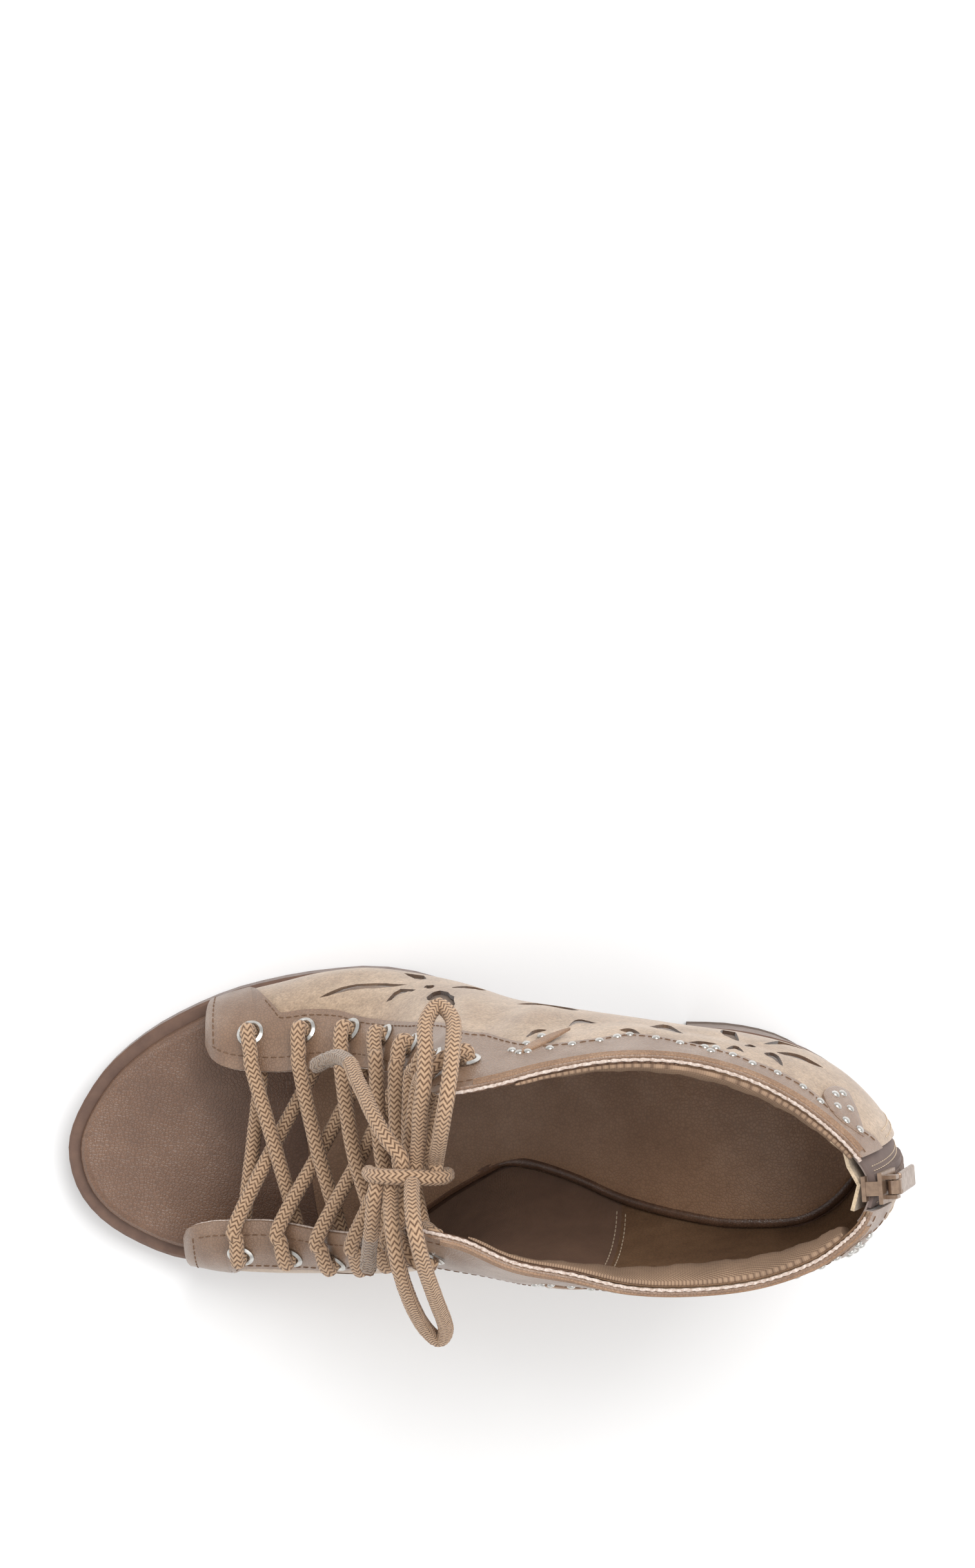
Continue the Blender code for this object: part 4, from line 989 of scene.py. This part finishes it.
def makeUpper():
    columns = sectionRange(0, lastSection, 0.1)
    suede = layerOnWall(
        "suedeQuarters", columns, rowsBetween(0.0, 0.975, 64), walls["lining"], walls["suede"],
        finishes["suede"], creaseAt=creasePush,
    )
    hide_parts("upper")
    smooth = layerOnWall(
        "smoothStraps", columns, rowsBetween(trimLine, 0.996, 22), walls["suede"] - 0.0001,
        walls["smooth"], finishes["smooth"],
    )
    for name, start, end, finish in (
        ("outerQuarterLining", 0.0, 13.0, "twill"),
        ("counterLining", 13.0, 24.64, "counter"),
        ("innerQuarterLining", 24.62, lastSection, "twill"),
    ):
        lining = layerOnWall(
            name, sectionRange(start, end, 0.16), rowsBetween(0.0, 0.985, 30), 0.0, walls["lining"],
            finishes[finish],
        )


makeUpper()
print("boot: leathers and linings laid")


# Pixels of the photograph place the ornament. Slits are curves with a width, petals are outlines.
ornament = {
    "slits": [
        ([(495, 1547), (533, 1533), (575, 1527), (632, 1526)], 9),
        ([(598, 1553), (617, 1538), (643, 1534)], 7),
        ([(693, 1524), (712, 1518), (741, 1521)], 6),
        ([(697, 1531), (725, 1531), (754, 1536)], 4),
        ([(656, 1529), (665, 1530), (674, 1528)], 5),
        ([(801, 1557), (849, 1560), (896, 1567)], 6),
        ([(881, 1587), (896, 1580), (925, 1584)], 4),
        ([(816, 1609), (830, 1600), (849, 1595)], 5),
        ([(1006, 1592), (1033, 1593), (1060, 1602)], 8),
        ([(960, 1600), (978, 1602), (996, 1608)], 6),
        ([(1055, 1619), (1083, 1617), (1111, 1619)], 5),
        ([(1154, 1620), (1163, 1620), (1173, 1622)], 5),
        ([(1125, 1627), (1140, 1624), (1154, 1632)], 5),
        ([(1184, 1633), (1201, 1638), (1214, 1653)], 9),
        ([(1184, 1618), (1223, 1618), (1269, 1634)], 6),
        ([(1203, 1630), (1238, 1638), (1277, 1656)], 6),
    ],
    "petals": [
        [
            (660, 1550), (668, 1540), (682, 1535), (697, 1541), (706, 1552), (703, 1562), (690, 1559),
            (675, 1553),
        ],
        [(615, 1500), (626, 1498), (638, 1501), (652, 1508), (659, 1517), (645, 1518), (630, 1512)],
        [(1116, 1600), (1126, 1596), (1137, 1598), (1146, 1611), (1134, 1608)],
    ],
    "slitDepth": (0.0004, 0.0030),
    "inlayAt": (0.00062, 0.0009),
}
zipSet = {
    "section": 18.0, "sectionAtBack": 0.0080, "slotWidth": 0.0140, "slotBottom": 0.0930,
    "toothStep": 0.0013, "toothHalf": 0.0014, "toothRadius": 0.00035, "tapeRows": (0.0040, 0.0052),
    "sideRows": (0.0088, 0.0104), "underlay": (0.0086, 0.0905, 0.1462),
}
def vAtHeight(u, z):
    vs = np.linspace(0, 1, 81)
    return float(np.interp(z, wallColumn(u, vs)[:, 2], vs))


def backPlace(across, z, offset=0.0):
    u = zipSet["section"]
    middle = wallColumn(u, [vAtHeight(u, z)])[0][1]
    for _ in range(5):
        y = wallColumn(u, [vAtHeight(u, z)])[0][1]
        u -= (middle + across - y) / zipSet["sectionAtBack"]
    return onWall(u, vAtHeight(u, z), offset)


def prism(name, rings, finish):
    mesh = gridMesh(name, rings)
    item = bpy.data.objects.new(name, mesh)
    mesh.materials.append(finishes[finish])
    weld(item, 1e-7)
    return item


def zipSlotCutter():
    middle = backPlace(0, zipSet["slotBottom"])
    radius = zipSet["slotWidth"] / 2
    outline = [(radius * math.cos(a), radius * math.sin(a)) for a in np.linspace(math.pi, 2 * math.pi, 13)]
    outline += [(radius, 0.06), (-radius, 0.06)]
    rings = []
    for x in (middle[0] - 0.03, middle[0] + 0.03):
        rings.append([(x, middle[1] + y, zipSet["slotBottom"] + radius + z) for y, z in outline])
    return prism("zipSlot", rings, "rawEdge")


def leafOutline(points, width, steps=10):
    # a slim leaf along a curve of pixels, widest in the middle
    points = [np.array(p, float) for p in points]
    line = [softCurve(points, (len(points) - 1) * i / steps) for i in range(steps + 1)]
    left, right = [], []
    for i, point in enumerate(line):
        way = line[min(i + 1, steps)] - line[max(i - 1, 0)]
        way /= np.linalg.norm(way)
        side = np.array([-way[1], way[0]]) * width / 2 * math.sin(math.pi * i / steps) ** 0.7
        left.append(point + side)
        right.append(point - side)
    return left + right[-2:0:-1]


def roundOutline(points, steps=20):
    points = [np.array(p, float) for p in points]
    loop = [points[-1], *points, points[0], points[1]]
    return [softCurve(loop, 1 + len(points) * i / steps) for i in range(steps)]


def placesOnWall(outline):
    return [place for place in (findOnWall(p) for p in outline) if place is not None]


def joined(name, items):
    # one mesh from several loose ones, which are then dropped
    builder = bmesh.new()
    for item in items:
        builder.from_mesh(item.data)
    mesh = bpy.data.meshes.new(name)
    builder.to_mesh(mesh)
    builder.free()
    for material in items[0].data.materials:
        mesh.materials.append(material)
    for item in items:
        bpy.data.objects.remove(item)
    return mesh


def carve(item, cutter):
    change = item.modifiers.new("cut", "BOOLEAN")
    change.operation = "DIFFERENCE"
    change.solver = "EXACT"
    change.object = cutter
    change.use_self = True
    change.material_mode = "TRANSFER"
    bpy.context.scene.collection.objects.link(cutter)
    shaped = item.evaluated_get(bpy.context.evaluated_depsgraph_get())
    item.data = bpy.data.meshes.new_from_object(shaped)
    item.modifiers.clear()
    bpy.context.scene.collection.objects.unlink(cutter)
    item.data.set_sharp_from_angle(angle=math.radians(50))


def wallPatch(name, spots, low, high, finish, dome=0.0):
    # a small piece lying on the wall, its face worked in rings towards the middle
    middle = np.mean(np.array(spots), axis=0)
    rings = []
    steps = (
        (0.0, low), (0.5, low), (1.0, low), (1.0, high - 0.0002), (0.92, high), (0.6, high + dome * 0.7),
        (0.3, high + dome), (0.0, high + dome),
    )
    for share, offset in steps:
        ring = []
        for place in spots:
            u, v = middle + (np.array(place) - middle) * share
            ring.append(tuple(onWall(u, v, offset)))
        rings.append(ring)
    piece = addPiece(name, gridMesh(name, rings, capEnds=False), finishes[finish])
    weld(piece, 1e-7)
    return piece


def looseMesh(name, shells, finish, sharp=60):
    # many small closed shells, each a list of rings, in one mesh
    corners, faces = [], []
    for rings in shells:
        start, count = len(corners), len(rings[0])
        corners += [tuple(p) for ring in rings for p in ring]
        for i in range(len(rings) - 1):
            for j in range(count):
                k = (j + 1) % count
                a, b = start + i * count, start + (i + 1) * count
                faces.append((a + j, a + k, b + k, b + j))
        faces.append(tuple(start + j for j in range(count - 1, -1, -1)))
        faces.append(tuple(start + (len(rings) - 1) * count + j for j in range(count)))
    mesh = bpy.data.meshes.new(name)
    mesh.from_pydata(corners, [], faces)
    mesh.update()
    piece = addPiece(name, mesh, finishes[finish], smoothAngle=sharp)
    weld(piece, 1e-7)
    return piece


def stitchShell(start, end, radius, sides=6):
    # one stitch: a short thread, thin where it dives into the leather
    way = (end - start) / np.linalg.norm(end - start)
    side = np.cross(way, [0.3, 0.2, 0.9])
    side /= np.linalg.norm(side)
    other = np.cross(way, side)
    rings = []
    for share, size in ((0, 0.35), (0.15, 0.85), (0.5, 1.0), (0.85, 0.85), (1, 0.35)):
        middle = start + (end - start) * share
        rings.append([middle + (side * math.cos(a) + other * math.sin(a)) * radius * size
                      for a in (2 * math.pi * k / sides for k in range(sides))])
    return rings


stitchSet = {"step": 0.0024, "length": 0.0017, "radius": 0.00019}
backStitchSet = {"step": 0.0020, "length": 0.0014, "radius": 0.00019}
tapeStitchSet = {"step": 0.0018, "length": 0.0011, "radius": 0.00016}


def stitchesAlong(points, size=stitchSet, skipSlot=True):
    step, line = size["step"], np.array(points)
    gone = np.concatenate([[0], np.cumsum(np.linalg.norm(np.diff(line, axis=0), axis=1))])
    shells = []
    for i in range(int(gone[-1] / step)):
        marks = (i * step, i * step + size["length"])
        ends = [np.array([np.interp(mark, gone, line[:, k]) for k in range(3)]) for mark in marks]
        if not skipSlot or not (inSlot(ends[0]) or inSlot(ends[1])):
            shells.append(stitchShell(ends[0], ends[1], size["radius"]))
    return shells


slotMiddle = backPlace(0, zipSet["slotBottom"])


def inSlot(point):
    near = abs(point[1] - slotMiddle[1]) < zipSet["slotWidth"] / 2 + 0.0006
    return point[0] > 0.085 and near and point[2] > zipSet["slotBottom"]


def wallLine(start, end, vAt, offset, step=0.12):
    return [onWall(u, vAt(u), offset) for u in sectionRange(start, end, step)]


studSet = {
    "radius": 0.00122, "rise": 0.00085,
    "pixels": [
        (841, 1611), (817, 1623), (796, 1633), (806, 1637), (819, 1635), (853, 1630), (888, 1624),
        (930, 1618), (957, 1612), (976, 1609), (1017, 1614), (1054, 1622), (1092, 1628), (1101, 1634),
        (1108, 1629), (1134, 1640), (1165, 1653), (1204, 1668), (1243, 1689), (1270, 1711),
    ],
    "patchPixels": [(1292, 1702), (1303, 1701), (1295, 1720), (1314, 1724), (1308, 1742), (1329, 1756)],
    "patch": [
        (1274, 1700), (1281, 1691), (1292, 1688), (1304, 1691), (1313, 1697), (1319, 1710), (1327, 1728),
        (1337, 1765), (1320, 1755), (1300, 1741), (1283, 1722),
    ],
    "sliver": [(806, 1639), (820, 1626), (850, 1612), (885, 1600), (868, 1611), (838, 1628)],
}


def studShell(place, offset):
    u, v = place
    middle, way = onWall(u, v, offset), wallNormals(u, [v])[0]
    turn = Vector(way).to_track_quat("Z", "Y").to_matrix()
    rings = []
    for wide, high in ((1.0, -0.2), (1.0, 0.15), (0.88, 0.5), (0.62, 0.82), (0.3, 0.97), (0.04, 1.0)):
        ring = []
        for k in range(16):
            angle = 2 * math.pi * k / 16
            reach = studSet["radius"] * wide
            spot = turn @ Vector((reach * math.cos(angle), reach * math.sin(angle), studSet["rise"] * high))
            ring.append(middle + np.array(spot))
        rings.append(ring)
    return rings


def makeOrnament():
    suede = bpy.data.objects["suedeQuarters"]
    cutters = []
    low, high = ornament["slitDepth"]
    outlines = [leafOutline(points, width) for points, width in ornament["slits"]]
    outlines += [roundOutline(points) for points in ornament["petals"]]
    for number, outline in enumerate(outlines, 1):
        outer = placesOnWall(outline)
        if len(outer) < 6:
            continue
        for side, found in (("Outer", outer), ("Inner", [mirrored(place) for place in outer])):
            rings = [[tuple(onWall(u, v, offset)) for u, v in found] for offset in (low, high)]
            cutters.append(prism("slit", rings, "suedeEdge"))
            # slits get a patch of the dark edge finish beneath them, painted shade at the bottom of each
            # narrow cut; petals get the inlay cloth
            petal = number > len(ornament["slits"])
            wallPatch(f"inlay{side}{number}", found, *ornament["inlayAt"], "inlay" if petal else "suedeEdge")
    slot = zipSlotCutter()
    cutters.append(slot)
    cutter = bpy.data.objects.new("cutOuts", joined("cutOuts", cutters))
    carve(suede, cutter)
    bpy.data.objects.remove(cutter)


edgeTrim = {
    "collar": {"outer": (9.6, 16.85), "inner": (19.15, 27.6)},  # sections, clear of the zip
    "rawEdge": {"Outer": (0.12, 17.08), "Inner": (18.92, lastSection - 0.12)},
    "rawDepth": 0.0012, "rawFrom": 0.0009, "rawTo": 0.0017,
    "bindingBelow": 0.0030, "bindingTop": 0.0004, "bindingRise": 0.00035, "bindingRidge": 0.00012,
    "padBelow": 0.0210, "padTop": 0.0008, "padThick": 0.0014, "padSwell": 0.0034, "padSpread": 3.6,
    "padMiddles": (14.5, 22.0), "threadRise": 0.00006,
    "edgeStitch": 0.0036, "seamStitch": 0.0020, "frontStitches": ((0.95, 0.93), (lastSection - 1.1, 0.90)),
    "liningSeams": (12.9, 13.1, 24.54, 24.74), "backStitchFromTo": (0.090, 0.126), "seamCord": 0.00022,
}


def padDepth(u):
    # the padding swells towards the back of the collar, with slight puckers
    middle = edgeTrim["padMiddles"][1 if u > backSection else 0]
    back = math.exp(-((u - middle) / edgeTrim["padSpread"]) ** 2)
    puckers = 0.0002 * math.sin(u * 9) + 0.0001 * math.sin(u * 23)
    return edgeTrim["padThick"] + edgeTrim["padSwell"] * back + puckers


def bindingFaces(u, vs):
    ridges = edgeTrim["bindingRidge"] * np.cos(np.linspace(0, 4 * math.pi, len(vs)))
    return np.full(len(vs), walls["smooth"] - 0.0002), walls["smooth"] + edgeTrim["bindingRise"] + ridges


def padFaces(u, vs):
    swell = np.sin(np.linspace(0.15, math.pi - 0.1, len(vs))) ** 0.7
    return -0.0002 - padDepth(u) * swell, np.full(len(vs), 0.0001)


def rawEdgeFaces(u, vs):
    # the cut leather is never quite even
    near = edgeTrim["rawFrom"] - 0.0001 * math.sin(u * 31)
    far = edgeTrim["rawTo"] + 0.00012 * math.sin(u * 43 + 1)
    return np.full(len(vs), near), np.full(len(vs), far)


def rowsBelowEdge(part, count):
    below, top = edgeTrim[part + "Below"], edgeTrim[part + "Top"]
    return rowsBetween(lambda u: belowEdge(u, below), lambda u: belowEdge(u, top), count)


def seamStitchLine(u):
    return min(0.97, trimLine(u) + edgeTrim["seamStitch"] / columnLength(u)[-1])


def makeTrims():
    slot = zipSlotCutter()
    for name in ("smoothStraps", "counterLining"):
        carve(bpy.data.objects[name], slot)
    bpy.data.objects.remove(slot)
    for name, (start, end) in edgeTrim["collar"].items():
        band = layerOnWall(
            name + "CollarBinding", sectionRange(start, end, 0.12),
            rowsBelowEdge("binding", 9), 0, 0, finishes["binding"], thicknessAt=bindingFaces,
        )
        pad = layerOnWall(
            name + "CollarPad", sectionRange(start + 0.8, end - 0.6 * (name == "inner"), 0.12),
            rowsBelowEdge("pad", 20), 0, 0, finishes["knit"], thicknessAt=padFaces,
        )
    for side, (start, end) in edgeTrim["rawEdge"].items():
        ruff = layerOnWall(
            "rawEdge" + side, sectionRange(start, end, 0.05),
            rowsBetween(lambda u: belowEdge(u, edgeTrim["rawDepth"]), 1.0, 5), 0, 0, finishes["rawEdge"],
            thicknessAt=rawEdgeFaces,
        )
    onLeather = walls["smooth"] + edgeTrim["threadRise"]
    edge = wallLine(0.9, lastSection - 1.1, lambda u: belowEdge(u, edgeTrim["edgeStitch"]), onLeather, 0.1)
    shells = stitchesAlong(edge)
    shells += stitchesAlong(wallLine(2.75, 35.0, seamStitchLine, onLeather, 0.06))
    for u, top in edgeTrim["frontStitches"]:
        shells += stitchesAlong([onWall(u, v, onLeather) for v in np.linspace(0.06, top, 24)])
    # the dark thread carries painted shade of the stitch holes
    row = looseMesh("edgeStitches", shells, "thread")
    # a thin dark cord along the suede side of each trim seam: a painted shadow line
    for label, start, end in (("Outer", 2.75, 16.9), ("Inner", 19.1, 35.0)):
        line = wallLine(start, end, lambda u: trimLine(u) - 0.002, walls["suede"] + 0.0001, 0.06)
        mesh = gridMesh("seam", tubeRings(line, edgeTrim["seamCord"], 6))
        shade = addPiece("seamEdge" + label, mesh, finishes["suedeEdge"])
    shells = []
    for u in edgeTrim["liningSeams"]:
        shells += stitchesAlong([onWall(u, v, -0.00012) for v in np.linspace(0.05, 0.86, 30)])
    for across in zipSet["sideRows"]:
        for sign in (1, -1):
            levels = np.linspace(*edgeTrim["backStitchFromTo"], 18)
            side = [backPlace(sign * across, z, walls["suede"] + 0.00012) for z in levels]
            shells += stitchesAlong(side, backStitchSet)
    row = looseMesh("backStitches", shells, "paleThread")


def makeStuds():
    spots = [findOnWall(p) for p in studSet["pixels"]]
    shells = [studShell(place, walls["smooth"] - 0.0002) for place in spots if place]
    shells += [studShell(mirrored(place), walls["smooth"] - 0.0002) for place in spots if place]
    patchSpots = [findOnWall(p) for p in studSet["patchPixels"]]
    rise = walls["suede"] + 0.0010
    shells += [studShell(place, rise) for place in patchSpots if place]
    shells += [studShell(mirrored(place), rise) for place in patchSpots if place]
    piece = looseMesh("studs", shells, "silver", 0)
    for label, outline, low, high in (
        ("studPatch", studSet["patch"], walls["suede"] - 0.0001, walls["suede"] + 0.0011),
        ("sliver", studSet["sliver"], walls["smooth"] - 0.0002, walls["smooth"] + 0.0005),
    ):
        found = placesOnWall(roundOutline(outline))
        finish = "smooth" if label == "studPatch" else "binding"
        for side, spots in (("Outer", found), ("Inner", [mirrored(place) for place in found])):
            wallPatch(label + side, spots, low, high, finish, 0.0001)


makeOrnament()
print("boot: cut-outs and slot made")
makeTrims()
print("boot: edges, pads and stitches laid")
makeStuds()
print("boot: studs set")


# Inside of the shoe: heel sock and the rolled edge of the footbed
insoleSet = {
    "footbed": 0.0035, "gap": 0.0003, "sockInset": 0.0052, "sockThick": 0.0005, "sockFront": -0.0440,
    "rollInset": 0.0046, "rollRadius": 0.0016, "smoothing": 14, "rollFront": 0.0020,
}


def insoleEdges(inset):
    turns = np.linspace(0.02, 2 * math.pi - 0.02, 241)
    points = np.array([insetEdge(turn, inset) for turn in turns])
    outer, inner = points[turns <= math.pi], points[turns > math.pi][::-1]
    return outer, inner


def footbedTop(x):
    return soleTop(x) + insoleSet["gap"] + insoleSet["footbed"]


def makeInsole():
    outer, inner = insoleEdges(insoleSet["sockInset"])
    end = min(outer[:, 0].max(), inner[:, 0].max()) - 0.0004
    count = 25
    rings, strips = [], []
    for x in np.linspace(insoleSet["sockFront"], end, 120):
        left = float(np.interp(x, outer[:, 0], outer[:, 1]))
        right = float(np.interp(x, inner[:, 0], inner[:, 1]))
        top, under = [], []
        for k in range(count):
            share = k / (count - 1)
            y = right + (left - right) * share
            bow = -0.0030 * math.sin(math.pi * share) * max(0.0, 1 - (x - insoleSet["sockFront"]) / 0.02)
            place = x + bow
            drop = 0.0005 * (abs(2 * share - 1) ** 14)
            z = footbedTop(place) + insoleSet["sockThick"] - drop
            top.append((place, y, z))
            under.append((place, y, z - insoleSet["sockThick"] * 0.8))
        rings.append(top + under[::-1])
        line = [(p[0], p[1]) for p in rings[-1]]
        strips.append(line + [line[0]])
    sock = addPiece("heelSock", gridMesh("heelSock", rings, strips=strips), finishes["sock"])
    weld(sock, 1e-7)
    # the rolled edges take the darker roll finish: painted shade along the side of the footbed
    for side, edge in zip(("Outer", "Inner"), insoleEdges(insoleSet["rollInset"])):
        radius = insoleSet["rollRadius"]
        kept = [(x, y) for x, y in edge if x > insoleSet["rollFront"]]
        line, _ = evenLine([(x, y, footbedTop(x) - radius * 0.7) for x, y in kept], 0.0015)
        for _ in range(insoleSet["smoothing"]):
            line[1:-1] = [(line[i - 1] + line[i] * 2 + line[i + 1]) / 4 for i in range(1, len(line) - 1)]
        last = len(line) - 1
        sizes = [radius * min(1.0, 0.2 + i / 10, 0.2 + (last - i) / 10) for i in range(last + 1)]
        mesh = gridMesh("roll", tubeRings(line, lambda i: sizes[i], 12))
        roll = addPiece("footbedRoll" + side, mesh, finishes["roll"])


makeInsole()
print("boot: insole laid")


# Zip: teeth and rows of stitches on the tape
def makeZip():
    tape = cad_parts["zip_tape"]
    corners = [v.co[:] for v in tape.data.vertices]
    tree = BVHTree.FromPolygons(corners, [face.vertices[:] for face in tape.data.polygons])

    def onTape(across, z):
        start = Vector((0.16, backPlace(0, z)[1] + across, z))
        hit, normal, _, _ = tree.ray_cast(start, Vector((-1, 0, 0)))
        return (None, None) if hit is None else (np.array(hit), np.array(normal))

    teeth = []
    bottom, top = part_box("zip_tape")
    for z in np.arange(bottom[2] + 0.003, top[2] - 0.0005, zipSet["toothStep"]):
        for sign in (1, -1):
            level = z + sign * zipSet["toothStep"] / 4
            hit, _ = onTape(sign * zipSet["toothHalf"] * 0.35, level)
            if hit is not None:
                reach = np.array([0, zipSet["toothHalf"] * sign, 0])
                teeth.append(stitchShell(hit - reach * 0.5, hit + reach, zipSet["toothRadius"]))
    piece = looseMesh("zipTeeth", teeth, "coil")
    rows = []
    for across in zipSet["tapeRows"]:
        for sign in (1, -1):
            line = [onTape(sign * across, z)[0] for z in np.linspace(bottom[2] + 0.004, top[2] - 0.002, 24)]
            line = [p + np.array([0.0001, 0, 0]) for p in line if p is not None]
            if len(line) > 3:
                rows += stitchesAlong(line, tapeStitchSet, skipSlot=False)
    piece = looseMesh("tapeStitches", rows, "paleThread")


def makeUnderlay():
    # the tape's cloth edges, sewn to the inside of the slot
    half, low, high = zipSet["underlay"]
    rings = []
    for across in np.linspace(-half, half, 17):
        face, back = [], []
        for z in np.linspace(low, high, 24):
            face.append(tuple(backPlace(across, z, -0.0001)))
            back.append(tuple(backPlace(across, z, -0.0006)))
        rings.append(face + back[::-1])
    piece = addPiece("zipUnderlay", gridMesh("zipUnderlay", rings, strips=[
        [(i * 0.0011, j * 0.0022) for j in range(24)] + [(i * 0.0011, j * 0.0022) for j in range(23, -1, -1)]
        + [(i * 0.0011, 0)] for i in range(17)]), finishes["tape"])
    weld(piece, 1e-7)


makeZip()
makeUnderlay()
print("boot: zip finished")


# Carried-over solids get their finishes and softened edges
def dress(name, finish, bevel=0.0):
    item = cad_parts[name]
    if not item.material_slots:
        item.data.materials.append(finishes[finish])
    for slot in item.material_slots:
        slot.material = finishes[finish]
    if bevel:
        edge = item.modifiers.new("soft edge", "BEVEL")
        edge.width = bevel
        edge.segments = 2
        edge.limit_method = "ANGLE"
        edge.angle_limit = math.radians(40)


for nodeName, finishName, bevelWidth in (
    ("outsole", "sole", 0.0), ("heel_block", "heel", 0.0006), ("top_lift", "rubber", 0.0004),
    ("footbed", "footbed", 0.0), ("zip_tape", "tape", 0.0), ("zip_slider", "slider", 0.0003),
    ("zip_pull", "slider", 0.0003), ("zip_guard", "guard", 0.0002),
):
    dress(nodeName, finishName, bevelWidth)


# Floor and light
stageSet = {
    "lights": {  # place, size, power
        "keyLight": ((0.5, 0.9, 1.7), 1.2, 27),
        "fillLight": ((0.9, -0.9, 1.4), 1.6, 9),
        "toeLight": ((-1.3, -0.2, 0.9), 1.0, 4),
    },
    "sky": 0.75, "floorHalf": 6, "lookAt": (0, 0, 0.06),
}


def makeStage():
    builder = bmesh.new()
    bmesh.ops.create_grid(builder, x_segments=1, y_segments=1, size=stageSet["floorHalf"])
    mesh = bpy.data.meshes.new("floor")
    builder.to_mesh(mesh)
    builder.free()
    floor = bpy.data.objects.new("floor", mesh)
    bpy.context.scene.collection.objects.link(floor)
    material, tree, shader = startFinish("paleFloor")
    tone = noise(tree, places(tree), 3, 2, 0.5)
    pale = ramp(tree, tone, (0.3, (0.86, 0.86, 0.86)), (0.7, (0.90, 0.90, 0.90)))
    tree.links.new(pale, shader.inputs["Base Color"])
    shader.inputs["Roughness"].default_value = 0.9
    mesh.materials.append(material)
    for name, (place, size, power) in stageSet["lights"].items():
        data = bpy.data.lights.new(name, "AREA")
        data.size = size
        data.energy = power
        lamp = bpy.data.objects.new(name, data)
        lamp.location = place
        aim = Vector(stageSet["lookAt"]) - Vector(place)
        lamp.rotation_euler = aim.to_track_quat("-Z", "Y").to_euler()
        bpy.context.scene.collection.objects.link(lamp)
    world = bpy.data.worlds.new("softSky")
    world.use_nodes = True
    world.node_tree.nodes["Background"].inputs["Color"].default_value = (1, 1, 1, 1)
    world.node_tree.nodes["Background"].inputs["Strength"].default_value = stageSet["sky"]
    bpy.context.scene.world = world
    bpy.context.scene.view_settings.view_transform = "Standard"


makeStage()
print("boot: stage lit")
